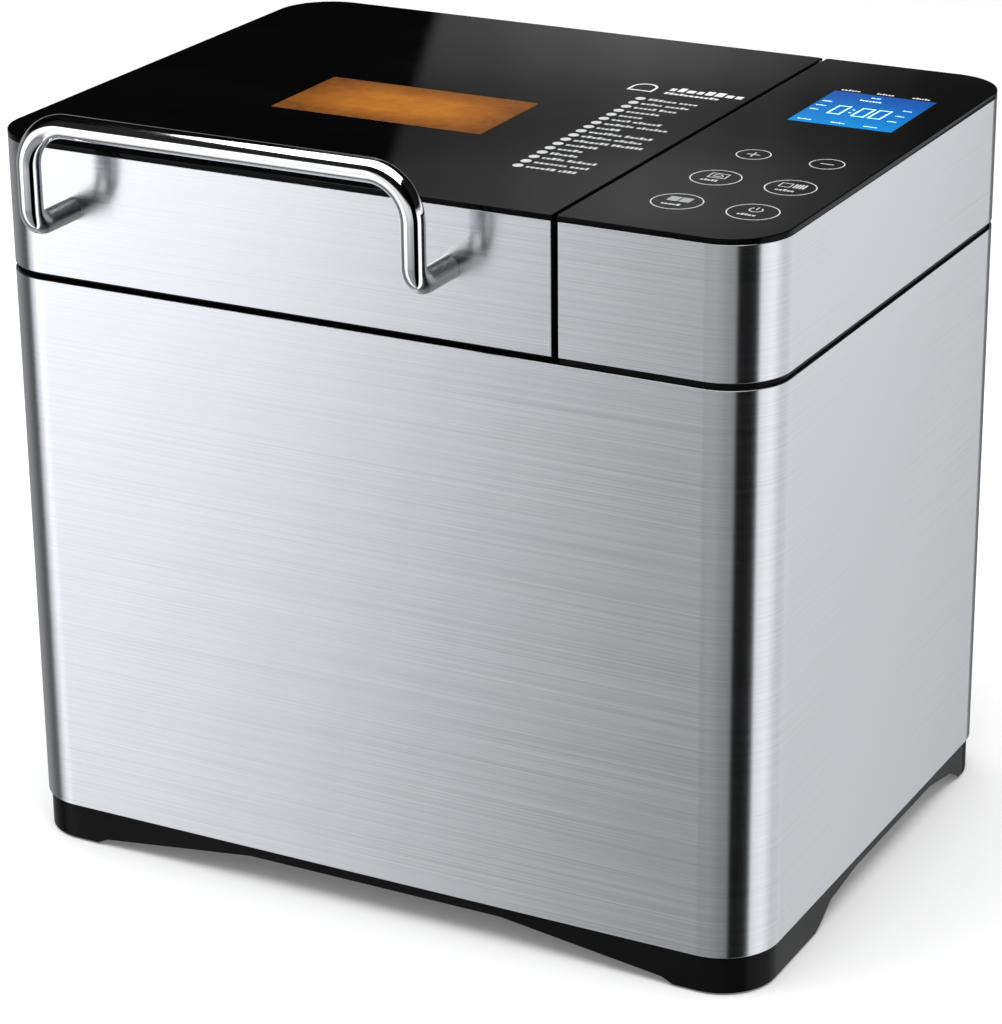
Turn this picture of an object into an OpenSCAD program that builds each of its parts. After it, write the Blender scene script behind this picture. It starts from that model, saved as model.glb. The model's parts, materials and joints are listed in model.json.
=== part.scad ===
// Bread machine with a hinged lid, a lift-out pan and a fixed control head.
// Millimetres. X to the right, Y to the back, Z up. Origin on the table under the middle of the overall box.
// The modules are written about the middle of the body, and placed() moves them to the origin's frame.

/* [Body] */
// width over the steel
body_w = 360; // [352:1:372]
// depth over the steel
body_d = 268; // [264:1:280]
// plan corner radius
corner_r = 26; // [22:1:30]
// underside of the steel wrap
steel_z = 18; // [17.5:0.1:18.5]
// top of the steel wrap, where the seam starts
seam_z = 266; // [265:0.5:267]
// height of the seam under lid and head
seam_h = 3; // [2.5:0.1:3.2]
// steel sheet thickness
sheet = 1; // [0.8:0.1:1.2]

/* [Lid] */
// height of the steel band of lid and head
band_h = 55.8; // [55:0.2:57]
// glass thickness
glass_t = 2.6; // [2.2:0.2:4]
// middle of the gap between lid and head
split_x = 90; // [88:0.5:92]
// width of that gap
split_gap = 3; // [2:0.2:4]
// hinge axis behind the rear face
hinge_out = 3.5; // [3.4:0.1:4]

/* [Handle] */
// chrome rod diameter
rod_d = 10; // [8:0.5:11]
// distance between the two stubs
rod_span = 180; // [160:2:190]
// rod centre in front of the lid
rod_out = 28; // [25:1:34]
// height of the stubs above the table
rod_z = 299.5; // [297:0.5:302]
// height of the top bar above the table
rod_top = 344.5; // [342:0.5:350]

/* [Oven] */
// inside width of the chamber
cham_w = 210; // [208:1:212]
// inside depth of the chamber
cham_d = 170; // [168:1:172]
// width over the pan rim
pan_w = 185; // [182:1:186]
// depth over the pan rim
pan_d = 135; // [130:1:136]
// top of the pan rim
pan_top = 252; // [250:0.5:252]

/* [Drive] */
// drive shaft diameter
shaft_d = 10; // [9:0.5:10.5]
// running fit, radial
run_fit = 0.05; // [0.02:0.01:0.09]
// radius of the large pulley
pulley_r = 60; // [56:1:62]
// radius of the motor pulley
motor_pulley_r = 10; // [9:0.5:11]
// motor axis, from the middle of the body
motor_x = 130; // [129:0.5:132]

/* [Hidden] */
$fn = 64;
lid_z = seam_z + seam_h;
band_top = lid_z + band_h;
glass_top = band_top + glass_t;
// the two panes stand this far over the gap between lid and head
glass_lap = 0.7;
lid_x1 = split_x - split_gap / 2;
head_x0 = split_x + split_gap / 2;
// middle of the oven, the pan and the drive
cx = -45;
// longer than anything here, for cutting shapes
far = 400;
// inner parts stand this far inside the outline of the skin
rim = sheet + 0.3;
deck_top = seam_z - 0.5;
deck_z = deck_top - 6;
deck_skirt = 10;
tray_floor = 15.5;
tray_top = 30;
tray_wall = 2.5;
foot_in = 20;
chassis_z = 46;
plate_t = 2;
flange_t = 1.5;
floor_z = 60;
// clearance of screw shanks, and of shafts in hubs fixed to them
screw_gap = 0.2;
fixed_gap = 0.03;
hinge_y = body_d / 2 + hinge_out;
hinge_z = seam_z + seam_h / 2;
hinge_r = 2.8;
// the body stands this far behind the origin, so the box from handle to hinges is centred on it
centre_y = (rod_out + rod_d / 2 - hinge_out - hinge_r) / 2;
hinge_xs = [-150, 20];
hinge_w = 40;
pin_r = 1.5;
leaf_t = 1.6;
leaf_y = body_d / 2 + 0.1;
leaf_screw_r = 1.5;
body_leaf_z = [248, 262];
body_leaf_screws = [8, 32];
body_leaf_screw_z = 255;
lid_leaf_z = [275, 296];
lid_leaf_screws = [6, 34];
lid_leaf_screw_z = 286;
rear_screw_xs = [-143, 0, 143];
rear_screw_zs = [37, 243];
head_screw_xs = [104, 168];
head_screw_ys = [-112, 112];
rod_x0 = cx - 2 - rod_span / 2;
win_x0 = -93;
win_x1 = 10;
win_y0 = -45;
win_y1 = 10;
lcd_x0 = 116;
lcd_x1 = 163;
lcd_y0 = 32;
lcd_y1 = 82;
key_xs = [125, 157.5];
key_ys = [-23, -60, -96.5];
bin_x0 = -95;
bin_x1 = 12;
bin_y0 = 15;
bin_y1 = 60;
flap_y = 54.5;
flap_z = 296;
bail_z = 238;
bail_x = pan_w / 2 + 4.5;
bail_len = pan_d / 2 + 5.5;
belt_z = 23;
belt_w = 10;
belt_t = 2;
// the belt runs this far above the pulley rims
belt_gap = 0.35;
pulley_z = [22, 34];
flange_r = 3;
board_t = 1.6;

steel = [0.75, 0.76, 0.78];
black = [0.08, 0.08, 0.09];
zinc = [0.62, 0.63, 0.62];
brass = [0.78, 0.62, 0.32];

// ---- shared shapes ----

module placed() {
  translate([0, centre_y, 0]) children();
}

// Rectangle with round corners, centred.
module rr(w, d, r) {
  union() {
    square([w - 2 * r, d], center = true);
    square([w, d - 2 * r], center = true);
    for (x = [-1, 1], y = [-1, 1]) {
      translate([x * (w / 2 - r), y * (d / 2 - r)]) circle(r);
    }
  }
}

// Body outline moved inwards by i, kept between two X positions.
module plan(i, x0 = -far, x1 = far) {
  intersection() {
    rr(body_w - 2 * i, body_d - 2 * i, corner_r - i);
    translate([x0, -far]) square([x1 - x0, 2 * far]);
  }
}

module slab(z0, z1) {
  translate([0, 0, z0]) linear_extrude(z1 - z0) children();
}

module box(x0, x1, y0, y1, z0, z1) {
  translate([x0, y0, z0]) cube([x1 - x0, y1 - y0, z1 - z0]);
}

module disc(x, y, z0, z1, r) {
  translate([x, y, z0]) cylinder(h = z1 - z0, r = r);
}

module tube(x, y, z0, z1, r, bore) {
  difference() {
    disc(x, y, z0, z1, r);
    disc(x, y, z0 - 1, z1 + 1, bore);
  }
}

// Cylinder along X.
module rod_x(x0, x1, y, z, r) {
  translate([x0, y, z]) rotate([0, 90, 0]) cylinder(h = x1 - x0, r = r);
}

// Cylinder along Y.
module rod_y(y0, y1, x, z, r) {
  translate([x, y0, z]) rotate([-90, 0, 0]) cylinder(h = y1 - y0, r = r);
}

// Round bar bent through 90 degrees about Z, starting on the X axis.
module bend(bend_r, r, turn = 90) {
  rotate_extrude(angle = turn) translate([bend_r, 0]) circle(r, $fn = 32);
}

// Screw with its head at z = 0 pointing down, shank upwards, hexagon socket in the head.
module screw(head_r, head_h, r, h) {
  difference() {
    union() {
      cylinder(h = head_h, r = head_r, $fn = 32);
      cylinder(h = head_h + h, r = r, $fn = 32);
    }
    translate([0, 0, -0.1]) cylinder(h = head_h * 0.6, r = head_r * 0.5, $fn = 6);
  }
}

// ---- base ----

pad_r = 6;
pad_y0 = -body_d / 2 + 22;
pad_y1 = -body_d / 2 + 50;
pad_y2 = body_d / 2 - 15;
pad_h = 3;

// Four pads; the front pair is long, the rear pair is round.
module pad_plan(grow = 0) {
  for (x = [-1, 1]) {
    translate([x * (body_w / 2 - foot_in), 0]) {
      translate([0, pad_y0]) circle(pad_r + grow);
      translate([-pad_r - grow, pad_y0]) square([2 * (pad_r + grow), pad_y1 - pad_y0]);
      translate([0, pad_y1]) circle(pad_r + grow);
      translate([0, pad_y2]) circle(pad_r + grow);
    }
  }
}

module rubber_feet() {
  placed() color([0.15, 0.15, 0.15]) slab(0, pad_h) pad_plan();
}

tray_screws = [[-155, -60], [-155, 0], [-155, 60], [162, -60], [162, 0], [162, 60]];
tray_screw_seat = 12.9;

module base_tray() {
  placed() color(black) difference() {
    slab(1, tray_top) plan(rim);
    // front and rear arch
    translate([0, far, 0]) rotate([90, 0, 0]) linear_extrude(2 * far) {
      polygon([[-145, 0], [-138, 3.5], [-102, 8], [-62, 13], [62, 13], [102, 8], [138, 3.5], [145, 0]]);
    }
    // side arches
    translate([-far, 0, 0]) rotate([90, 0, 90]) linear_extrude(2 * far) {
      polygon([[-68, 0], [-60, 3], [-49, 9.5], [-20, 12.7], [66, 12.7], [92, 8], [106, 0]]);
    }
    slab(tray_floor, tray_top + 1) plan(rim + tray_wall);
    // hollow feet
    for (x = [-1, 1]) {
      translate([x * (body_w / 2 - foot_in), -body_d / 2 + 36, 5]) cylinder(h = 20, r = 8);
    }
    slab(0, pad_h) pad_plan(0.1);
    for (p = tray_screws) {
      disc(p[0], p[1], 5, 20, 2);
      disc(p[0], p[1], 0, tray_screw_seat, 4.5);
    }
    // floor vents
    for (i = [-4:4]) {
      for (y = [-118, 84]) {
        box(i * 13 + 17, i * 13 + 21, y, y + 34, 5, 20);
      }
    }
  }
}

module base_screws() {
  head = 2;
  placed() color(zinc) for (p = tray_screws) {
    translate([p[0], p[1], tray_screw_seat - head - 0.1]) screw(4, head, 1.6, 9);
  }
}

// ---- body skin ----

vent_half = 140;
vent_z = [40, 240];
panel_in = 8;
panel_half = vent_half + panel_in;
panel_t = 1.2;
panel_y = body_d / 2 - sheet - panel_t - 0.2;

// Holes for the screws that hold the rear panel and the body's hinge leaves.
module rear_holes(y0, y1) {
  for (x = rear_screw_xs, z = rear_screw_zs) {
    rod_y(y0, y1, x, z, 1.6 + screw_gap);
  }
  for (h = hinge_xs, s = body_leaf_screws) {
    rod_y(y0, y1, h + s, body_leaf_screw_z, leaf_screw_r + screw_gap);
  }
}

module body_wrap() {
  placed() color(steel) difference() {
    slab(steel_z, seam_z) plan(0);
    slab(steel_z - 1, seam_z + 1) plan(sheet);
    box(-vent_half, vent_half, body_d / 2 - 5, body_d / 2 + 5, vent_z[0], vent_z[1]);
    rear_holes(body_d / 2 - 5, body_d / 2 + 5);
  }
}

gland_x = 118;
gland_z = 64;
gland_r = 3.6;
gland_neck_r = 9;

slot_pitch = 12;
slot_half = 32;
column_pitch = 84;

// Level vent slots, the given number of rows above z in each column.
module vent_slots(z, rows, columns) {
  for (row = [0:rows - 1], column = columns) {
    translate([column * column_pitch, panel_y, z + row * slot_pitch]) box(-slot_half, slot_half, -1, 3, 0, 4);
  }
}

module rear_panel() {
  placed() color(black) difference() {
    box(-panel_half, panel_half, panel_y, panel_y + panel_t, vent_z[0] - panel_in, vent_z[1] + panel_in);
    vent_slots(118, 9, [-1, 0, 1]);
    vent_slots(52, 4, [-1, 0]);
    rod_y(panel_y - 1, panel_y + 3, gland_x, gland_z, gland_neck_r + 0.1);
    rear_holes(panel_y - 1, panel_y + 3);
  }
}

// Six screws of the rear panel and four of the body's hinge leaves.
module rear_screws() {
  placed() color(zinc) {
    for (x = rear_screw_xs, z = rear_screw_zs) {
      translate([x, body_d / 2 + 1.8, z]) rotate([90, 0, 0]) screw(3.6, 1.7, 1.6, 5);
    }
    for (h = hinge_xs, s = body_leaf_screws) {
      translate([h + s, leaf_y + leaf_t + 1.7, body_leaf_screw_z]) {
        rotate([90, 0, 0]) screw(3.2, 1.6, leaf_screw_r, 6);
      }
    }
  }
}

module cord_gland() {
  placed() color([0.12, 0.12, 0.12]) difference() {
    union() {
      rod_y(panel_y - 8, panel_y + 7, gland_x, gland_z, gland_neck_r);
      rod_y(panel_y + 1.3, panel_y + 4, gland_x, gland_z, 12);
      translate([gland_x, panel_y - 0.2, gland_z]) rotate([90, 0, 0]) cylinder(h = 5, r = 13, $fn = 6);
    }
    rod_y(panel_y - 10, panel_y + 10, gland_x, gland_z, gland_r);
  }
}

module top_deck() {
  placed() color(black) difference() {
    union() {
      slab(deck_z, deck_top) plan(rim);
      slab(deck_z - deck_skirt, deck_z + 1) difference() {
        plan(rim);
        plan(rim + tray_wall);
      }
    }
    slab(deck_z - 1, deck_top + 1) translate([cx, 0]) rr(cham_w - 2, cham_d - 2, 20);
    for (x = head_screw_xs, y = head_screw_ys) {
      disc(x, y, deck_z - 1, deck_top + 1, 1.6 + screw_gap);
    }
    rear_holes(body_d / 2 - 8, body_d / 2);
  }
}

// ---- chassis ----

// radius of the ring of screws that hold the bearing housing
housing_screw_r = 24;

module chassis() {
  x0 = -165;
  x1 = 172;
  half = 100;
  flange_w = 20;
  low = tray_floor + 0.1;
  placed() color(zinc) difference() {
    union() {
      box(x0, x1, -half, half + 12, chassis_z, chassis_z + plate_t);
      box(x0, x0 + plate_t, -half, half, low, chassis_z + 1);
      box(x1 - plate_t, x1, -half, half, low, chassis_z + 1);
      box(x0, x0 + flange_w, -half, half, low, low + flange_t);
      box(x1 - flange_w, x1, -half, half, low, low + flange_t);
    }
    disc(cx, 0, chassis_z - 1, chassis_z + 3, 15);
    disc(motor_x, 0, chassis_z - 1, chassis_z + 3, 9);
    for (p = tray_screws) {
      disc(p[0], p[1], tray_floor - 1, tray_floor + 3, 1.8);
    }
    for (a = [45:90:315]) {
      translate([cx, 0]) rotate(a) disc(housing_screw_r, 0, chassis_z - 1, chassis_z + 3, 1.8);
    }
    for (x = [-60, 0, 60], y = [-60, 60]) {
      disc(cx + x, y, chassis_z - 1, chassis_z + 3, 7);
    }
  }
}

module chassis_screws() {
  placed() color(zinc) for (a = [45:90:315]) {
    translate([cx, 0, chassis_z - 2.2]) rotate(a) translate([housing_screw_r, 0]) screw(3.2, 2, 1.5, 6);
  }
}

// ---- oven chamber ----

heat_z = 95;
heat_r = 3.2;
heat_x = cham_w / 2 - 8;
heat_y = cham_d / 2 - 9;
heat_bend = 20;
end_bend = 6;
heater_ends = [-12, 12];
probe_z = 150;
probe_r = 3;

module liner() {
  flange_z = deck_z - 1.2;
  cham_r = 22;
  wall = 1;
  placed() color([0.7, 0.7, 0.7]) difference() {
    union() {
      slab(floor_z, flange_z + wall) translate([cx, 0]) rr(cham_w + 2 * wall, cham_d + 2 * wall, cham_r + wall);
      slab(flange_z, flange_z + wall) translate([cx, 0]) rr(cham_w + 20, cham_d + 20, 30);
    }
    slab(floor_z + wall, deck_z + 2) translate([cx, 0]) rr(cham_w, cham_d, cham_r);
    disc(cx, 0, floor_z - 1, floor_z + 2, 15);
    for (y = heater_ends) {
      rod_x(cx + cham_w / 2 - 4, cx + cham_w / 2 + 5, y, heat_z, 5.5);
    }
    rod_x(cx - cham_w / 2 - 4, cx - cham_w / 2 + 4, 0, probe_z, probe_r + 0.3);
  }
}

module liner_standoffs() {
  placed() color(zinc) for (x = [-1, 1], y = [-1, 1]) {
    tube(cx + x * 80, y * 45, chassis_z + plate_t, floor_z - 0.05, 6, 2);
  }
}

// Ring on the chamber floor that guides the pan.
module pan_socket() {
  socket_r = 40;
  placed() color([0.6, 0.6, 0.62]) difference() {
    union() {
      disc(cx, 0, floor_z + 1.05, floor_z + 3, socket_r + 8);
      disc(cx, 0, floor_z + 1.05, floor_z + 14, socket_r + 3);
    }
    disc(cx, 0, floor_z + 3, floor_z + 15, socket_r);
    disc(cx, 0, floor_z, floor_z + 4, socket_r / 2);
    for (a = [45:90:315]) {
      translate([cx, 0, 0]) rotate(a) disc(socket_r + 5.5, 0, floor_z, floor_z + 4, 1.6);
    }
  }
}

module heater() {
  end_y = heater_ends[1] + end_bend;
  placed() color([0.35, 0.34, 0.33]) translate([cx, 0, heat_z]) union() {
    for (s = [-1, 1]) {
      rod_x(-heat_x + heat_bend, heat_x - heat_bend, s * heat_y, 0, heat_r);
    }
    rod_y(-heat_y + heat_bend, heat_y - heat_bend, -heat_x, 0, heat_r);
    rod_y(end_y, heat_y - heat_bend, heat_x, 0, heat_r);
    rod_y(-heat_y + heat_bend, -end_y, heat_x, 0, heat_r);
    for (c = [[1, 1, 0], [-1, 1, 90], [-1, -1, 180], [1, -1, 270]]) {
      translate([c[0] * (heat_x - heat_bend), c[1] * (heat_y - heat_bend)]) {
        rotate(c[2]) bend(heat_bend, heat_r);
      }
    }
    translate([heat_x + end_bend, end_y]) rotate(180) bend(end_bend, heat_r);
    translate([heat_x + end_bend, -end_y]) rotate(90) bend(end_bend, heat_r);
    for (y = heater_ends) {
      rod_x(heat_x + end_bend, heat_x + 28, y, 0, heat_r);
      rod_x(heat_x + 28, heat_x + 36, y, 0, 1.6);
    }
  }
}

module heater_clips() {
  placed() color(zinc) for (s = [[0, -1], [0, 1], [-1, 0]]) {
    length = s[0] == 0 ? cham_d / 2 : cham_w / 2;
    translate([cx, 0, heat_z]) rotate(s[0] == 0 ? s[1] * 90 : 180) difference() {
      box(length - 14, length - 0.1, -4, 4, -heat_r - 1.6, heat_r + 1.6);
      box(length - 15, length - 1.4, -5, 5, -heat_r - 0.1, heat_r + 0.1);
    }
  }
}

module heater_bushes() {
  wall = cx + cham_w / 2;
  placed() color([0.9, 0.88, 0.82]) for (y = heater_ends) {
    difference() {
      union() {
        rod_x(wall - 0.8, wall + 3, y, heat_z, 5.2);
        rod_x(wall + 1.2, wall + 8, y, heat_z, 8);
      }
      rod_x(wall - 5, wall + 10, y, heat_z, heat_r + 0.15);
    }
  }
}

module temp_probe() {
  wall = cx - cham_w / 2;
  placed() color(brass) union() {
    rod_x(wall - 12, wall + 8, 0, probe_z, probe_r);
    rod_x(wall - 6, wall - 1.3, 0, probe_z, 2 * probe_r);
  }
}

module thermal_fuse() {
  wall = cx + cham_w / 2 + 1.1;
  placed() color([0.85, 0.85, 0.8]) union() {
    box(wall, wall + 1.2, 24, 44, 170, 200);
    rod_y(22, 46, wall + 4.5, 185, 3.5);
  }
}

// Two spring strips on the end walls that press on the pan.
module pan_springs() {
  y0 = 40;
  width = 14;
  middle = 140;
  half = 25;
  reach = 11;
  thick = 1.4;
  root = cham_w / 2 - 1;
  placed() color(steel) for (turn = [0, 180]) {
    translate([cx, 0, 0]) rotate(turn) {
      box(root, cham_w / 2 - 0.1, y0, y0 + width, middle - half - 5, middle + half + 5);
      translate([0, y0 + width, 0]) rotate([90, 0, 0]) linear_extrude(width) {
        polygon([[root, middle + half], [root - reach, middle], [root, middle - half],
          [root, middle - half + thick], [root - reach + thick * 0.6, middle], [root, middle + half - thick]]);
      }
    }
  }
}

// ---- drive ----

shaft_r = shaft_d / 2;

module bearing_housing() {
  placed() color([0.55, 0.56, 0.57]) difference() {
    union() {
      disc(cx, 0, 37.5, 62.5, 14);
      disc(cx, 0, chassis_z + plate_t, chassis_z + plate_t + 3, 30);
      for (a = [0:90:270]) {
        translate([cx, 0, chassis_z + 3]) rotate(a) translate([10, -1.5, 0]) cube([18, 3, 8]);
      }
    }
    disc(cx, 0, 30, 70, 9);
    for (a = [45:90:315]) {
      translate([cx, 0]) rotate(a) disc(housing_screw_r, 0, chassis_z, chassis_z + 8, 1.8);
    }
  }
}

module drive_bushes() {
  placed() color(brass) for (z = [37.6, 54.6]) {
    tube(cx, 0, z, z + 7.8, 8.98, shaft_r + run_fit);
  }
}

module drive_shaft() {
  placed() color(steel) disc(cx, 0, 17, 66, shaft_r);
}

// Disc with two upright lugs that turn the paddle shaft.
module drive_coupler() {
  placed() color([0.6, 0.6, 0.62]) difference() {
    union() {
      disc(cx, 0, 63, 66.5, 17);
      for (s = [-1, 1]) {
        box(cx - 3, cx + 3, s * 13 - 2.5, s * 13 + 2.5, 66, 74);
      }
    }
    disc(cx, 0, 60, 70, shaft_r + fixed_gap);
  }
}

// Flanged pulley with a web, six holes and a hub.
module drive_pulley() {
  hub_r = 13;
  placed() color([0.2, 0.2, 0.22]) difference() {
    union() {
      disc(cx, 0, pulley_z[0], pulley_z[1], pulley_r);
      disc(cx, 0, pulley_z[0] - 1, pulley_z[0] + 0.5, pulley_r + flange_r);
      disc(cx, 0, pulley_z[1] - 0.5, pulley_z[1] + 1, pulley_r + flange_r);
      disc(cx, 0, pulley_z[0] - 2, pulley_z[1] + 2.5, hub_r);
    }
    disc(cx, 0, 10, 50, shaft_r + fixed_gap);
    difference() {
      union() {
        disc(cx, 0, pulley_z[0] + 4, 40, pulley_r - 6);
        disc(cx, 0, 15, pulley_z[0] + 1, pulley_r - 6);
      }
      disc(cx, 0, 14, 41, hub_r);
    }
    for (a = [0:60:300]) {
      translate([cx, 0]) rotate(a) disc(34, 0, 10, 40, 11);
    }
  }
}

module drive_nut() {
  placed() color(zinc) difference() {
    translate([cx, 0, 16.5]) cylinder(h = 3.4, r = 8.5, $fn = 6);
    disc(cx, 0, 15, 22, shaft_r + fixed_gap);
  }
}

// Solid outline of a belt over both pulleys, at a distance above their rims.
// The straight runs start a tenth of a millimetre inside the rounds, so that they cross them cleanly.
module belt_slab(above, z0, z1) {
  r1 = pulley_r + above;
  r2 = motor_pulley_r + above;
  a = acos((r1 - r2) / (motor_x - cx));
  q1 = r1 - 0.1;
  q2 = r2 - 0.1;
  union() {
    disc(cx, 0, z0, z1, r1);
    disc(motor_x, 0, z0, z1, r2);
    slab(z0, z1) polygon([
      [cx + q1 * cos(a), q1 * sin(a)], [motor_x + q2 * cos(a), q2 * sin(a)],
      [motor_x + q2 * cos(a), -q2 * sin(a)], [cx + q1 * cos(a), -q1 * sin(a)]
    ]);
  }
}

module drive_belt() {
  placed() color([0.1, 0.1, 0.1]) difference() {
    belt_slab(belt_gap + belt_t, belt_z, belt_z + belt_w);
    belt_slab(belt_gap, belt_z - 1, belt_z + belt_w + 1);
  }
}

motor_z = [54, 133];
can_r = 37;
motor_shaft_r = 4;

module motor_body() {
  end_t = 5;
  boss_r = 8;
  placed() color([0.45, 0.46, 0.48]) difference() {
    union() {
      disc(motor_x, 0, motor_z[0], motor_z[0] + end_t + 1, can_r + 3);
      disc(motor_x, 0, motor_z[0] + end_t, motor_z[1] - end_t, can_r);
      disc(motor_x, 0, motor_z[1] - end_t, motor_z[1], can_r + 3);
      disc(motor_x, 0, motor_z[0] - 4, motor_z[0] + 1, boss_r);
      disc(motor_x, 0, motor_z[1] - 1, motor_z[1] + 3, boss_r);
    }
    disc(motor_x, 0, 40, 140, motor_shaft_r + run_fit);
    for (a = [45:90:315]) {
      translate([motor_x, 0]) rotate(a) disc(can_r - 3, 0, 50, motor_z[0] + end_t, 1.7);
    }
    // slots in the upper end bell
    for (a = [0:45:315]) {
      translate([motor_x, 0]) rotate(a) box(16, 30, -2.5, 2.5, motor_z[1] - end_t + 1, 140);
    }
  }
}

module motor_mounts() {
  placed() color([0.15, 0.15, 0.15]) for (a = [45:90:315]) {
    translate([motor_x, 0]) rotate(a) tube(can_r - 3, 0, chassis_z + plate_t, motor_z[0] - 0.05, 5, 1.7);
  }
}

module motor_shaft() {
  placed() color(steel) disc(motor_x, 0, 19, 152, motor_shaft_r);
}

module motor_pulley() {
  placed() color([0.6, 0.6, 0.62]) difference() {
    union() {
      disc(motor_x, 0, 20, 38, motor_pulley_r);
      disc(motor_x, 0, 20, pulley_z[0] + 0.3, motor_pulley_r + flange_r);
      disc(motor_x, 0, pulley_z[1] - 0.3, 35.5, motor_pulley_r + flange_r);
    }
    disc(motor_x, 0, 10, 50, motor_shaft_r + fixed_gap);
  }
}

module motor_fan() {
  fan_z = 139;
  placed() color([0.2, 0.2, 0.22]) difference() {
    union() {
      disc(motor_x, 0, fan_z, fan_z + 12, 8);
      disc(motor_x, 0, fan_z, fan_z + 1.5, 33);
      for (a = [0:40:320]) {
        translate([motor_x, 0]) rotate(a) box(7, 32, -0.8, 0.8, fan_z + 1, fan_z + 11);
      }
    }
    disc(motor_x, 0, 130, 160, motor_shaft_r + fixed_gap);
  }
}

module run_capacitor() {
  top = 104;
  r = 16;
  placed() color([0.85, 0.85, 0.86]) translate([100, -78, 0]) union() {
    disc(0, 0, chassis_z + plate_t, top, r);
    disc(0, 0, top - 1, top + 2, r - 2);
    for (x = [-5, 5]) {
      box(x - 0.4, x + 0.4, -3, 3, top + 1, top + 10);
    }
    tube(0, 0, 60, 70, r + 1.5, r - 0.1);
    box(r, r + 8, -1, 1, 60, 70);
  }
}

board_y = 100;

// Upright mains board on two posts.
module power_board() {
  placed() color([0.1, 0.35, 0.2]) union() {
    box(76, 168, board_y, board_y + board_t, 62, 190);
    for (x = [80, 158]) {
      box(x, x + 6, board_y - 3, board_y + 6, chassis_z + plate_t, 70);
    }
  }
}

module power_parts() {
  face = board_y - 0.1;
  placed() color([0.2, 0.3, 0.45]) union() {
    // transformer, two relays, two capacitors, a heat sink and a row of terminals
    box(84, 122, 70, face, 80, 112);
    for (z = [80, 104]) {
      box(130, 150, 84, face, z, z + 16);
    }
    for (x = [98, 120]) {
      rod_y(78, face, x, 140, 8);
    }
    box(140, 162, 72, face, 140, 142);
    for (i = [0:4]) {
      box(90 + i * 14, 100 + i * 14, 86, face, 168, 182);
    }
  }
}

// ---- hinge ----

// Knuckle with a flat leg to a height; the leaf itself is added by the caller.
module hinge_knuckle(x0, x1, z) {
  difference() {
    union() {
      rod_x(x0, x1, hinge_y, hinge_z, hinge_r);
      box(x0, x1, leaf_y, leaf_y + leaf_t, min(hinge_z, z), max(hinge_z, z));
    }
    rod_x(x0 - 1, x1 + 1, hinge_y, hinge_z, pin_r + run_fit);
  }
}

// Leaf between two heights with its screw holes.
module hinge_plate(h, z, screws, screw_z) {
  difference() {
    box(h, h + hinge_w, leaf_y, leaf_y + leaf_t, z[0], z[1]);
    for (s = screws) {
      rod_y(leaf_y - 1, leaf_y + 3, h + s, screw_z, leaf_screw_r + screw_gap);
    }
  }
}

module hinge_leaves_body() {
  placed() color(steel) for (h = hinge_xs) {
    union() {
      hinge_knuckle(h, h + 12, body_leaf_z[0] + 12);
      hinge_knuckle(h + 28, h + hinge_w, body_leaf_z[0] + 12);
      hinge_plate(h, body_leaf_z, body_leaf_screws, body_leaf_screw_z);
    }
  }
}

module hinge_pins() {
  placed() color(zinc) for (h = hinge_xs) {
    union() {
      rod_x(h - 1, h + hinge_w + 1, hinge_y, hinge_z, pin_r);
      rod_x(h - 2, h - 0.3, hinge_y, hinge_z, 2.3);
      rod_x(h + hinge_w + 0.3, h + hinge_w + 2, hinge_y, hinge_z, 2.3);
    }
  }
}

module hinge_leaves_lid() {
  placed() color(steel) for (h = hinge_xs) {
    union() {
      hinge_knuckle(h + 12.4, h + 27.6, lid_leaf_z[0] + 5);
      hinge_plate(h, lid_leaf_z, lid_leaf_screws, lid_leaf_screw_z);
    }
  }
}

// ---- control head ----

skin_t = 2.5;
top_t = 3;
// underside of the plastic under the glass, in the lid and in the head
shelf = band_top - 0.2 - top_t;

module head_housing() {
  placed() color(black) difference() {
    union() {
      difference() {
        slab(deck_top + 0.1, band_top - 0.2) plan(rim, head_x0);
        slab(deck_top, shelf) plan(rim + skin_t, head_x0 + skin_t);
      }
      for (x = head_screw_xs, y = head_screw_ys) {
        disc(x, y, deck_top + 0.1, shelf + 1, 5);
      }
    }
    for (x = head_screw_xs, y = head_screw_ys) {
      disc(x, y, deck_top, shelf - 14, 1.6 + fixed_gap);
    }
    box(lcd_x0 - 1, lcd_x1 + 1, lcd_y0 - 1, lcd_y1 + 1, shelf - 1, band_top + 1);
    for (x = key_xs, y = key_ys) {
      disc(x, y, shelf - 1, band_top + 1, 7.5);
    }
  }
}

module head_band() {
  placed() color(steel) slab(lid_z, band_top) difference() {
    plan(0, head_x0);
    plan(sheet, 0);
  }
}

module head_glass() {
  placed() color(black) slab(band_top, glass_top) plan(0, head_x0 - glass_lap);
}

// Screws that come up through the deck into the head.
module head_screws() {
  placed() color(zinc) for (x = head_screw_xs, y = head_screw_ys) {
    translate([x, y, deck_z - 2.2]) screw(3.5, 2, 1.6, 22);
  }
}

module display_module() {
  placed() color([0.3, 0.5, 0.8]) union() {
    box(lcd_x0, lcd_x1, lcd_y0, lcd_y1, band_top - 5, band_top - 0.1);
    box(lcd_x0 - 4, lcd_x1 + 4, lcd_y0 - 4, lcd_y1 + 4, band_top - 9, band_top - 4.9);
  }
}

// underside of the touch board
board = band_top - 11;

module control_board() {
  placed() color([0.1, 0.35, 0.2]) union() {
    box(102, 171, -104, 98, board, board + board_t);
    disc(140, 0, board - 8, board + 0.1, 6);
    box(118, 134, -70, -54, board - 2, board + 0.1);
    for (i = [0:3]) {
      box(112 + i * 12, 119 + i * 12, 16, 22, board - 5, board + 0.1);
    }
  }
}

module touch_springs() {
  placed() color(brass) for (x = key_xs, y = key_ys) {
    tube(x, y, board + board_t + 0.1, band_top - 0.1, 5, 3.5);
  }
}

// ---- lid ----

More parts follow.
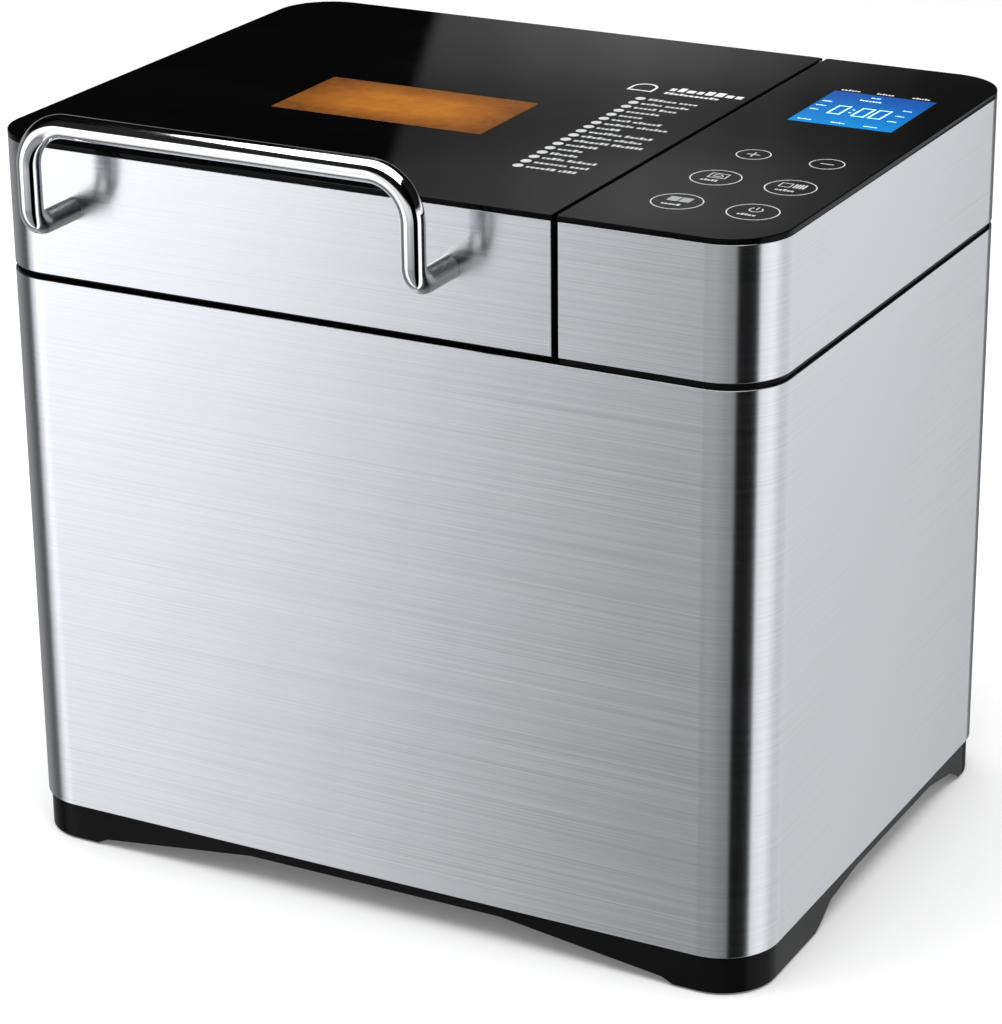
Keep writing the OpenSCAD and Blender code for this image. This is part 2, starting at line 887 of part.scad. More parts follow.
// Holes through the lid's walls for the two handle screws and the four screws of the lid's hinge leaves.
module lid_holes(depth) {
  for (x = [rod_x0, rod_x0 + rod_span]) {
    rod_y(-body_d / 2 - 2, -body_d / 2 + depth, x, rod_z, 2 + screw_gap);
  }
  for (h = hinge_xs, s = lid_leaf_screws) {
    rod_y(body_d / 2 - depth, body_d / 2 + 2, h + s, lid_leaf_screw_z, leaf_screw_r + screw_gap);
  }
}

module lid_frame() {
  placed() color(black) difference() {
    slab(lid_z - 1, band_top - 0.2) plan(rim, -far, lid_x1);
    slab(lid_z - 2, shelf) plan(rim + skin_t, -far, lid_x1 - skin_t);
    box(win_x0 + 3, win_x1 - 3, win_y0 + 3, win_y1 - 3, shelf - 1, band_top + 1);
    lid_holes(6);
  }
}

module lid_band() {
  placed() color(steel) difference() {
    slab(lid_z, band_top) difference() {
      plan(0, -far, lid_x1);
      plan(sheet);
    }
    lid_holes(3);
  }
}

module lid_glass() {
  placed() color(black) slab(band_top, glass_top) difference() {
    plan(0, -far, lid_x1 + glass_lap);
    translate([win_x0, win_y0]) square([win_x1 - win_x0, win_y1 - win_y0]);
  }
}

module window_pane() {
  placed() color([0.7, 0.4, 0.1]) {
    box(win_x0 + 0.15, win_x1 - 0.15, win_y0 + 0.15, win_y1 - 0.15, band_top, glass_top);
  }
}

module window_tunnel() {
  top = shelf - 0.1;
  placed() color([0.15, 0.15, 0.15]) difference() {
    union() {
      box(win_x0, win_x1, win_y0, win_y1, lid_z - 0.6, top);
      box(win_x0 - 4, win_x1 + 4, win_y0 - 4, win_y1 + 4, top - 2, top);
    }
    box(win_x0 + 3, win_x1 - 3, win_y0 + 3, win_y1 - 3, lid_z - 5, top + 5);
    box(win_x0 + 1.5, win_x1 - 1.5, win_y0 + 1.5, win_y1 - 1.5, lid_z + 2, lid_z + 6.2);
  }
}

module inner_pane() {
  placed() color([0.8, 0.8, 0.8]) {
    box(win_x0 + 1.6, win_x1 - 1.6, win_y0 + 1.6, win_y1 - 1.6, lid_z + 2.1, lid_z + 6.1);
  }
}

module lid_liner() {
  placed() color([0.7, 0.7, 0.7]) difference() {
    union() {
      slab(lid_z - 0.7, lid_z + 0.3) plan(rim + skin_t + 0.3, -far, lid_x1 - skin_t - 0.3);
      slab(lid_z - 0.7, lid_z + 9) difference() {
        plan(rim + skin_t + 0.3, -far, lid_x1 - skin_t - 0.3);
        plan(rim + skin_t + 1.1, -far, lid_x1 - skin_t - 1.1);
      }
    }
    box(win_x0 - 0.2, win_x1 + 0.2, win_y0 - 0.2, win_y1 + 0.2, lid_z - 5, lid_z + 5);
    box(bin_x0 - 0.2, bin_x1 + 0.2, bin_y0 - 0.2, bin_y1 + 0.2, lid_z - 5, lid_z + 5);
  }
}

rod_r = rod_d / 2;
stub_bend = 9;
top_bend = 19;

// Half of the handle, from a stub to the middle of the bar; the stub is at x = 0.
module handle_half() {
  face = -body_d / 2;
  bar_y = face - rod_out;
  rod_y(bar_y + stub_bend, face - 0.1, 0, rod_z, rod_r);
  translate([0, bar_y + stub_bend, rod_z + stub_bend]) {
    rotate([0, -90, 0]) rotate(180) bend(stub_bend, rod_r);
  }
  disc(0, bar_y, rod_z + stub_bend, rod_top - top_bend, rod_r);
  translate([top_bend, bar_y, rod_top - top_bend]) {
    rotate([90, 0, 0]) rotate(90) bend(top_bend, rod_r);
  }
  rod_x(top_bend, rod_span / 2 + 0.01, bar_y, rod_top, rod_r);
}

module handle_rod() {
  placed() color([0.9, 0.9, 0.92]) difference() {
    union() {
      translate([rod_x0, 0, 0]) handle_half();
      translate([rod_x0 + rod_span, 0, 0]) mirror([1, 0, 0]) handle_half();
    }
    for (s = [0, 1]) {
      rod_y(-body_d / 2 - 12, -body_d / 2 + 1, rod_x0 + s * rod_span, rod_z, 2.05);
    }
  }
}

// Two screws of the handle, put in from inside the lid, and four of the lid's hinge leaves, from behind.
module lid_screws() {
  inner = -body_d / 2 + rim + skin_t + 0.1;
  placed() color(zinc) {
    for (x = [rod_x0, rod_x0 + rod_span]) {
      translate([x, inner + 3, rod_z]) rotate([90, 0, 0]) screw(4.5, 3, 2, 14);
    }
    for (h = hinge_xs, s = lid_leaf_screws) {
      translate([h + s, leaf_y + leaf_t + 1.7, lid_leaf_screw_z]) {
        rotate([90, 0, 0]) screw(3.2, 1.6, leaf_screw_r, 6);
      }
    }
  }
}

// ---- dispenser ----

flap_pin_r = 1.5;
bin_t = 2;

module dispenser_box() {
  top = shelf - 0.1;
  placed() color([0.25, 0.25, 0.27]) difference() {
    box(bin_x0, bin_x1, bin_y0, bin_y1, lid_z - 6, top - 2);
    box(bin_x0 + bin_t, bin_x1 - bin_t, bin_y0 + bin_t, bin_y1 - bin_t, lid_z - 8, top - 4);
    rod_x(bin_x0 - 1, bin_x1 + 1, flap_y, flap_z, flap_pin_r + run_fit);
  }
}

module dispenser_motor() {
  placed() color([0.5, 0.5, 0.52]) difference() {
    union() {
      rod_x(bin_x1 + 0.3, bin_x1 + 26, flap_y, flap_z, 9);
      rod_x(bin_x1 + 25, bin_x1 + 44, flap_y + 1, flap_z, 7);
    }
    rod_x(bin_x1 - 1, bin_x1 + 14, flap_y, flap_z, flap_pin_r + run_fit);
  }
}

module dispenser_flap() {
  gap = bin_t + 0.5;
  placed() color([0.6, 0.6, 0.62]) union() {
    rod_x(bin_x0 - 1, bin_x1 + 12, flap_y, flap_z, flap_pin_r);
    rod_x(bin_x0 + gap, bin_x1 - gap, flap_y, flap_z, 2.8);
    box(bin_x0 + gap, bin_x1 - gap, bin_y0 + gap, flap_y, flap_z - 1, flap_z + 1);
    for (x = [bin_x0 + 20, (bin_x0 + bin_x1) / 2, bin_x1 - 20]) {
      box(x - 0.8, x + 0.8, bin_y0 + 5, flap_y, flap_z - 2.5, flap_z);
    }
  }
}

// ---- pan ----

pan_wall = 1.5;
pan_floor = 80;
pan_lip = 3;
pan_r = 25;
bearing_r = 8;
bail_hole_r = 2.55;

module pan_body() {
  placed() color([0.25, 0.25, 0.26]) translate([cx, 0, 0]) difference() {
    union() {
      slab(pan_floor, pan_top) rr(pan_w - 2 * pan_lip, pan_d - 2 * pan_lip, pan_r - pan_lip);
      slab(pan_top - 2.5, pan_top) rr(pan_w, pan_d, pan_r);
      slab(66, pan_floor + 1) circle(38);
      for (s = [-1, 1]) {
        mirror([s > 0 ? 0 : 1, 0, 0]) box(pan_w / 2 - 4, pan_w / 2 + 1, -8, 8, bail_z - 14, bail_z + 7);
      }
    }
    slab(pan_floor + 2, pan_top + 1) {
      rr(pan_w - 2 * (pan_lip + pan_wall), pan_d - 2 * (pan_lip + pan_wall), pan_r - pan_lip - pan_wall);
    }
    slab(60, pan_floor - 1) difference() {
      circle(35);
      circle(12);
    }
    slab(60, 74) circle(20);
    slab(60, pan_floor + 5) circle(bearing_r + fixed_gap);
    for (s = [-1, 1]) {
      rod_x(s * pan_w / 2 - 3, s * pan_w / 2 + 3, 0, bail_z, bail_hole_r);
    }
  }
}

module pan_bearing() {
  placed() color(brass) union() {
    tube(cx, 0, 74.2, pan_floor + 4, bearing_r, shaft_r + run_fit);
    tube(cx, 0, pan_floor + 2.1, pan_floor + 5, bearing_r + 3, shaft_r + run_fit);
  }
}

// Wire bail folded forwards, outside the rim.
module pan_bail() {
  wire = 2.5;
  turn = 12;
  placed() color(steel) translate([cx, 0, bail_z]) union() {
    for (s = [-1, 1]) {
      mirror([s > 0 ? 0 : 1, 0, 0]) {
        rod_x(pan_w / 2 - 2.6, bail_x, 0, 0, bail_hole_r - 0.1);
        rod_y(-bail_len + turn, 0, bail_x, 0, wire);
        translate([bail_x, 0, 0]) sphere(r = wire, $fn = 32);
        translate([bail_x - turn, -bail_len + turn, 0]) rotate(270) bend(turn, wire);
      }
    }
    rod_x(-bail_x + turn, bail_x - turn, -bail_len, 0, wire);
  }
}

// Kneading paddle on its own short shaft with a cross bar below.
module paddle() {
  placed() color([0.2, 0.2, 0.21]) translate([cx, 0, 0]) union() {
    slab(69, 104) circle(shaft_r);
    slab(68, 72.5) square([32, 6], center = true);
    slab(pan_floor + 5.6, 112) circle(9);
    slab(pan_floor + 5.6, pan_floor + 13) {
      polygon([[0, -9], [30, -12], [44, -6], [46, 0], [40, 4], [0, 9]]);
    }
    slab(pan_floor + 12, 118) {
      polygon([[4, -2.5], [26, -4], [42, 0], [40, 3], [24, 1], [4, 2.5]]);
    }
  }
}

// ---- selection ----

rubber_feet();
base_tray();
base_screws();
body_wrap();
rear_panel();
rear_screws();
cord_gland();
top_deck();
chassis();
chassis_screws();
liner();
liner_standoffs();
pan_socket();
heater();
heater_clips();
heater_bushes();
temp_probe();
thermal_fuse();
pan_springs();
bearing_housing();
drive_bushes();
drive_shaft();
drive_coupler();
drive_pulley();
drive_nut();
drive_belt();
motor_body();
motor_mounts();
motor_shaft();
motor_pulley();
motor_fan();
run_capacitor();
power_board();
power_parts();
hinge_leaves_body();
hinge_pins();
head_housing();
head_band();
head_glass();
head_screws();
display_module();
control_board();
touch_springs();
lid_frame();
lid_band();
lid_glass();
window_pane();
window_tunnel();
inner_pane();
lid_liner();
handle_rod();
lid_screws();
hinge_leaves_lid();
dispenser_box();
dispenser_motor();
dispenser_flap();
pan_body();
pan_bearing();
pan_bail();
paddle();
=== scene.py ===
"""Bread machine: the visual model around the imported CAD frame. Metres, in the CAD frame."""

import json
import math
import random

import bpy
from mathutils import Matrix, Vector
from mathutils.geometry import tessellate_polygon


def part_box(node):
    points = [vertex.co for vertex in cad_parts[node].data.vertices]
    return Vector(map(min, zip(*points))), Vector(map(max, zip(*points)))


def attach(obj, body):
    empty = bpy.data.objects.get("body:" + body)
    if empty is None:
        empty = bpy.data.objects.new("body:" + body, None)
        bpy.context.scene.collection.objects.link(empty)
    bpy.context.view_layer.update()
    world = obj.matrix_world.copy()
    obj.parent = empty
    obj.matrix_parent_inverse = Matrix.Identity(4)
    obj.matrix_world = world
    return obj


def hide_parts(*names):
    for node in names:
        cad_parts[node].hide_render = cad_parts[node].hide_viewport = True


MM = 0.001
TAU = 2 * math.pi

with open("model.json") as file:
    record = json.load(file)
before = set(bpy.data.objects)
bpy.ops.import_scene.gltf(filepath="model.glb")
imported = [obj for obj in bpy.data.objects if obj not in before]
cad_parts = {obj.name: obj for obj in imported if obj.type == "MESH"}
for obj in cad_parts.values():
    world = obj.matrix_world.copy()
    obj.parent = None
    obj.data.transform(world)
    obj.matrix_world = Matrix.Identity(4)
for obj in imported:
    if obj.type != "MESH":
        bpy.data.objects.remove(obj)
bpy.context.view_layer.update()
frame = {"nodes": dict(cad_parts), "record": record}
scene = bpy.context.scene
nodes = frame["nodes"]

# ---- places read from the frame ----

wrap_low, wrap_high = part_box("body_wrap")
lid_low, lid_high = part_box("lid_glass")
head_low, head_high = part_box("head_glass")
band_low, band_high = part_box("lid_band")
window_low, window_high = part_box("window_pane")
rod_low, rod_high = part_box("handle_rod")
display_low, display_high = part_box("display_module")

MID_Y = (wrap_low.y + wrap_high.y) / 2
GLASS_TOP = lid_high.z
# the skin's corner radius in plan, and its thickness
CORNER = 26 * MM
SHEET = 1 * MM
# points on a quarter circle of the skin's corners
CORNER_STEPS = 24
# corner radius of the bands where lid and head face each other
BAND_END = 0.1 * MM
# rounding of the glass edges, and the radius of the panes' corners at the split
EDGE = 0.5 * MM
SHARP = 1.2 * MM
# clearance round the window pane
WINDOW_GAP = 0.15 * MM
# radius of the handle's rod
ROD_R = 5 * MM
# the cut-out in the back of the wrap, behind the rear panel
REAR_HALF = 140 * MM
REAR_LOW, REAR_HIGH = 0.040, 0.240
# print lies from just inside the glass to just above it, and lit marks lie on the display's panel
PRINT_LOW = GLASS_TOP - 0.02 * MM
PRINT_HIGH = GLASS_TOP + 0.05 * MM
MARK_LOW = PRINT_HIGH - 0.01 * MM
MARK_HIGH = PRINT_HIGH + 0.04 * MM
# faces whose normal is this close to upright are level and are shaded flat
LEVEL = 0.9999


# ---- node helpers ----


class Material:
    """A Principled material with short calls for the nodes that every finish here uses."""

    def __init__(self, name, colour, rough, metal=0.0, **sockets):
        self.data = bpy.data.materials.new(name)
        self.data.use_nodes = True
        self.tree = self.data.node_tree
        self.shader = self.tree.nodes["Principled BSDF"]
        self.set("Base Color", (*colour, 1.0))
        self.set("Roughness", rough)
        self.set("Metallic", metal)
        for socket, value in sockets.items():
            self.set(socket.replace("_", " "), value)
        self.coords = self.tree.nodes.new("ShaderNodeTexCoord")

    def set(self, socket, value):
        """Sets a constant on the shader's own socket."""
        self.shader.inputs[socket].default_value = value

    def link(self, a, b):
        """Joins an output to an input."""
        self.tree.links.new(a, b)

    def mapped(self, scale):
        """Object coordinates, scaled."""
        node = self.tree.nodes.new("ShaderNodeMapping")
        node.inputs["Scale"].default_value = scale
        self.link(self.coords.outputs["Object"], node.inputs["Vector"])
        return node.outputs["Vector"]

    def axis(self, output, letter):
        """One component of a texture coordinate."""
        split = self.tree.nodes.new("ShaderNodeSeparateXYZ")
        self.link(self.coords.outputs[output], split.inputs["Vector"])
        return split.outputs[letter]

    def calc(self, operation, *values):
        """A math node; each value is a number or another node's output."""
        node = self.tree.nodes.new("ShaderNodeMath")
        node.operation = operation
        for socket, value in zip(node.inputs, values):
            if isinstance(value, float):
                socket.default_value = value
            else:
                self.link(value, socket)
        return node.outputs[0]

    def noise(self, scale, detail=4.0, rough=0.55, stretch=(1, 1, 1), distort=0.0):
        """Fractal noise in object coordinates, squeezed by stretch."""
        node = self.tree.nodes.new("ShaderNodeTexNoise")
        node.inputs["Scale"].default_value = scale
        node.inputs["Detail"].default_value = detail
        node.inputs["Roughness"].default_value = rough
        node.inputs["Distortion"].default_value = distort
        self.link(self.mapped(stretch), node.inputs["Vector"])
        return node.outputs["Fac"]

    def spread(self, value, low, high, start=0.3, end=0.7):
        """Maps a 0-1 value from start-end to low-high, clamped."""
        node = self.tree.nodes.new("ShaderNodeMapRange")
        node.inputs["From Min"].default_value = start
        node.inputs["From Max"].default_value = end
        node.inputs["To Min"].default_value = low
        node.inputs["To Max"].default_value = high
        self.link(value, node.inputs["Value"])
        return node.outputs["Result"]

    def ramp(self, value, stops):
        """Colour by value, between stops of (place, colour)."""
        node = self.tree.nodes.new("ShaderNodeValToRGB")
        band = node.color_ramp
        while len(band.elements) < len(stops):
            band.elements.new(0.5)
        for element, (place, colour) in zip(band.elements, stops):
            element.position = place
            element.color = (*colour, 1.0)
        self.link(value, node.inputs["Fac"])
        return node.outputs["Color"]

    def rough_from(self, value, low, high):
        """Roughness that follows a value."""
        self.link(self.spread(value, low, high), self.shader.inputs["Roughness"])

    def colour_from(self, value, stops):
        """Base colour that follows a value."""
        self.link(self.ramp(value, stops), self.shader.inputs["Base Color"])

    def bump(self, *layers):
        """Each layer is (value, strength, height in metres); they are stacked."""
        last = None
        for value, strength, height in layers:
            node = self.tree.nodes.new("ShaderNodeBump")
            node.inputs["Strength"].default_value = strength
            node.inputs["Distance"].default_value = height
            self.link(value, node.inputs["Height"])
            if last:
                self.link(last, node.inputs["Normal"])
            last = node.outputs["Normal"]
        self.link(last, self.shader.inputs["Normal"])


def brushed_steel(name, colour=(0.63, 0.645, 0.67), rough=(0.19, 0.26)):
    """Sheet steel brushed in level lines all round the body."""
    m = Material(name, colour, 0.3, 1.0, Anisotropic=0.85, Anisotropic_Rotation=0.25)
    tangent = m.tree.nodes.new("ShaderNodeTangent")
    tangent.direction_type = "RADIAL"
    tangent.axis = "Z"
    m.link(tangent.outputs["Tangent"], m.shader.inputs["Tangent"])
    lines = m.noise(1.0, 3.0, 0.6, stretch=(6, 6, 2600))
    cloud = m.noise(7.0, 3.0)
    tint = [tuple(c * k for c in colour) for k in (0.9, 1.0, 1.07)]
    m.colour_from(lines, [(0.25, tint[0]), (0.5, tint[1]), (0.75, tint[2])])
    m.rough_from(lines, *rough)
    m.bump((lines, 0.12, 0.00005), (cloud, 0.01, 0.002))
    return m.data


def plain_metal(name, colour, rough, grain=600.0, depth=0.00003):
    """Bare or plated metal with a fine grain and slow patches."""
    m = Material(name, colour, rough, 1.0)
    fine = m.noise(grain, 4.0)
    patch = m.noise(18.0, 4.0)
    m.colour_from(patch, [(0.3, tuple(c * 0.86 for c in colour)), (0.7, colour)])
    m.rough_from(patch, rough * 0.8, rough * 1.35)
    m.bump((fine, 0.25, depth))
    return m.data


def plastic(name, colour, rough, grain=1500.0, depth=0.00003, strength=0.3, **sockets):
    """Moulded plastic, rubber, ceramic or powder coat, told apart by grain and roughness."""
    m = Material(name, colour, rough, 0.0, **sockets)
    fine = m.noise(grain, 3.0)
    patch = m.noise(25.0, 4.0)
    lighter = tuple(min(1.0, c * 1.25 + 0.002) for c in colour)
    m.colour_from(patch, [(0.3, colour), (0.75, lighter)])
    m.rough_from(patch, rough * 0.8, rough * 1.3)
    m.bump((fine, strength, depth))
    return m.data


def black_glass(name):
    """Polished glass over black print with faint smears; its edges are ground dull."""
    m = Material(name, (0.006, 0.0065, 0.0075), 0.03, 0.0)
    smear = m.noise(9.0, 5.0, 0.6, stretch=(1, 2.4, 1), distort=0.6)
    ripple = m.noise(3.0, 2.0)
    m.rough_from(smear, 0.015, 0.045)
    m.colour_from(smear, [(0.3, (0.001, 0.001, 0.0012)), (0.75, (0.002, 0.002, 0.0023))])
    polish = m.spread(m.axis("Normal", "Z"), 0.06, 0.5, 0.8, 0.99)
    m.link(polish, m.shader.inputs["Specular IOR Level"])
    m.bump((ripple, 0.01, 0.0003))
    return m.data


def chrome(name):
    """Polished plating with faint finger smears."""
    m = Material(name, (0.9, 0.905, 0.92), 0.04, 1.0)
    smear = m.noise(40.0, 4.0, stretch=(0.4, 1, 1))
    m.rough_from(smear, 0.025, 0.07)
    m.bump((m.noise(160.0, 2.0), 0.015, 0.0001))
    return m.data


def crust_glass(name):
    """The viewing window: warm mottled crust behind a clear pane, with painted shade darkening it towards
    its rim.
    """
    m = Material(name, (0.5, 0.17, 0.01), 0.3, 0.0, Specular_IOR_Level=0.3)
    blotch = m.noise(55.0, 6.0, 0.62, distort=0.4)
    grain = m.noise(420.0, 4.0, 0.7)
    pits = m.noise(150.0, 3.0, 0.6)
    # painted shade: the colour falls off from the pane's centre towards its rim along both axes
    rim_shade = []
    for letter in ("X", "Y"):
        away = m.calc("ABSOLUTE", m.calc("SUBTRACT", m.axis("Generated", letter), 0.5))
        rim_shade.append(m.spread(away, 1.0, 0.0, 0.2, 0.52))
    total = m.calc("MULTIPLY", *rim_shade)
    for layer, share in ((blotch, 1.0), (grain, 0.7), (pits, 0.7)):
        total = m.calc("MULTIPLY_ADD", layer, share, total)
    stops = [
        (0.1, (0.11, 0.03, 0.003)),
        (0.42, (0.23, 0.072, 0.004)),
        (0.68, (0.31, 0.1, 0.006)),
        (1.0, (0.44, 0.155, 0.012)),
    ]
    colour = m.ramp(m.spread(total, 0.0, 1.0, 0.85, 2.4), stops)
    m.link(colour, m.shader.inputs["Base Color"])
    return m.data


def display_blue(name):
    """Lit display: deep blue at the back, brighter towards the user, with a faint cell texture."""
    m = Material(name, (0.002, 0.008, 0.03), 0.06, 0.0)
    clouded = m.calc("MULTIPLY_ADD", m.noise(60.0, 2.0), 0.12, m.axis("Generated", "Y"))
    stops = [
        (0.05, (0.0, 0.27, 0.68)),
        (0.45, (0.003, 0.18, 0.58)),
        (0.8, (0.006, 0.12, 0.47)),
        (1.0, (0.008, 0.09, 0.4)),
    ]
    colour = m.ramp(clouded, stops)
    m.link(colour, m.shader.inputs["Emission Color"])
    m.set("Emission Strength", 1.0)
    return m.data


def glowing(name, colour, strength):
    """Lit marks of the display."""
    m = Material(name, colour, 0.4, 0.0)
    m.set("Emission Color", (*colour, 1.0))
    m.set("Emission Strength", strength)
    m.colour_from(m.noise(300.0), [(0.3, tuple(c * 0.93 for c in colour)), (0.7, colour)])
    return m.data


def print_ink(name, colour):
    """Slightly uneven screen print."""
    m = Material(name, colour, 0.35, 0.0)
    worn = m.noise(900.0, 3.0)
    m.colour_from(worn, [(0.3, tuple(c * 0.8 for c in colour)), (0.6, colour)])
    m.rough_from(worn, 0.25, 0.5)
    return m.data


def circuit_board(name):
    """Green solder mask over tracks."""
    m = Material(name, (0.01, 0.11, 0.045), 0.3, 0.0, Coat_Weight=0.3)
    tracks = m.noise(260.0, 1.0, 0.3, stretch=(1, 0.25, 1))
    m.colour_from(tracks, [(0.44, (0.006, 0.07, 0.03)), (0.5, (0.015, 0.16, 0.06))])
    m.bump((tracks, 0.3, 0.00008))
    return m.data


def clear_pane(name):
    """Clear glass with a faint haze."""
    m = Material(name, (0.9, 0.93, 0.93), 0.03, 0.0, Transmission_Weight=0.95, IOR=1.5)
    m.rough_from(m.noise(14.0, 4.0), 0.02, 0.08)
    return m.data


def oxidised(name):
    """Heater sheath, blued and browned by heat."""
    m = Material(name, (0.13, 0.1, 0.09), 0.45, 0.85)
    patch = m.noise(60.0, 5.0, 0.6)
    stops = [(0.3, (0.05, 0.05, 0.06)), (0.5, (0.14, 0.1, 0.08)), (0.7, (0.2, 0.13, 0.09))]
    m.colour_from(patch, stops)
    m.rough_from(patch, 0.32, 0.6)
    m.bump((m.noise(900.0, 3.0), 0.3, 0.00004))
    return m.data


def nonstick(name):
    """Dark speckled cooking coat."""
    m = Material(name, (0.035, 0.035, 0.038), 0.38, 0.35, Coat_Weight=0.25, Coat_Roughness=0.3)
    speck = m.noise(1400.0, 2.0, 0.5)
    cloud = m.noise(30.0, 4.0)
    m.colour_from(speck, [(0.6, (0.03, 0.03, 0.033)), (0.72, (0.16, 0.16, 0.17))])
    m.rough_from(cloud, 0.3, 0.48)
    m.bump((speck, 0.2, 0.00003))
    return m.data


MATERIALS = {
    "steel": brushed_steel("brushed_steel"),
    "gloss_black": plastic(
        "gloss_black", (0.004, 0.004, 0.0045), 0.16, 900.0, 0.00002, 0.08, Specular_IOR_Level=0.05,
    ),
    "matte_black": plastic("matte_black", (0.016, 0.016, 0.017), 0.5),
    "grey_plastic": plastic("grey_plastic", (0.09, 0.09, 0.095), 0.45),
    "dark_plastic": plastic("dark_plastic", (0.03, 0.03, 0.032), 0.42),
    "rubber": plastic("rubber", (0.018, 0.018, 0.018), 0.75, 700.0, 0.00008, 0.5),
    "coated_metal": plastic("coated_metal", (0.02, 0.02, 0.021), 0.42, 1100.0, 0.00006, 0.6),
    "zinc": plain_metal("zinc", (0.52, 0.53, 0.52), 0.36, 900.0, 0.00002),
    "bright_metal": plain_metal("bright_metal", (0.6, 0.61, 0.62), 0.28, 700.0, 0.00004),
    "heater_tube": oxidised("heater_tube"),
    "ceramic": plastic("ceramic", (0.72, 0.68, 0.6), 0.5, 800.0, 0.00004),
    "brass": plain_metal("brass", (0.72, 0.52, 0.24), 0.3),
    "spring_steel": plain_metal("spring_steel", (0.55, 0.56, 0.58), 0.24),
    "motor_metal": plain_metal("motor_metal", (0.3, 0.31, 0.33), 0.4),
    "capacitor_can": plain_metal("capacitor_can", (0.66, 0.67, 0.68), 0.3),
    "board_green": circuit_board("board_green"),
    "part_blue": plastic("part_blue", (0.03, 0.07, 0.2), 0.4),
    "display": display_blue("display"),
    "black_glass": black_glass("black_glass"),
    "amber_glass": crust_glass("amber_glass"),
    "clear_glass": clear_pane("clear_glass"),
    "chrome": chrome("chrome"),
    "nonstick": nonstick("nonstick"),
}
INK = print_ink("ink", (0.62, 0.63, 0.64))
INK_BRIGHT = print_ink("ink_bright", (0.85, 0.86, 0.87))
LIT = glowing("lit_marks", (0.5, 0.85, 1.0), 0.8)


# ---- mesh helpers ----


def piece(name, verts, faces, body, slot, replaces=(), angle=35.0, material=None):
    """Makes a mesh piece that rides on a body and takes a slot's finish."""
    mesh = bpy.data.meshes.new(name)
    mesh.from_pydata([tuple(v) for v in verts], [], faces)
    mesh.validate()
    mesh.update()
    mesh.set_sharp_from_angle(angle=math.radians(angle))
    for polygon in mesh.polygons:
        polygon.use_smooth = abs(polygon.normal.z) < LEVEL
    obj = bpy.data.objects.new(name, mesh)
    scene.collection.objects.link(obj)
    mesh.materials.append(material or MATERIALS[slot])
    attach(obj, body)
    if replaces:
        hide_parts(*replaces)
    return obj


def outline(x0, x1, y0, y1, radii, steps=20):
    """Points of a rounded rectangle, counter-clockwise from the front right corner."""
    corners = ((x1, y0, -90), (x1, y1, 0), (x0, y1, 90), (x0, y0, 180))
    points = []
    for (x, y, start), r in zip(corners, radii):
        cx = x - r if x == x1 else x + r
        cy = y - r if y == y1 else y + r
        for k in range(steps + 1):
            a = math.radians(start + 90 * k / steps)
            points.append((cx + r * math.cos(a), cy + r * math.sin(a)))
    return points


def ring_points(x, y, r, count):
    """Points of a circle, counter-clockwise."""
    angles = [TAU * k / count for k in range(count)]
    return [(x + r * math.cos(a), y + r * math.sin(a)) for a in angles]


def turns_left(loop):
    """True if the points run counter-clockwise."""
    ends = zip(loop, loop[1:] + loop[:1])
    return sum(a[0] * b[1] - b[0] * a[1] for a, b in ends) > 0


def caps(loops, count_before):
    """Triangles over an outline with holes, as indices into the joined loops; faces point up."""
    polys = [[Vector((x, y, 0)) for x, y in loop] for loop in loops]
    flat = [p for poly in polys for p in poly]
    up = []
    for a, b, c in tessellate_polygon(polys):
        turn = (flat[b] - flat[a]).cross(flat[c] - flat[a]).z
        tri = (a, b, c) if turn > 0 else (a, c, b)
        up.append(tuple(i + count_before for i in tri))
    return up


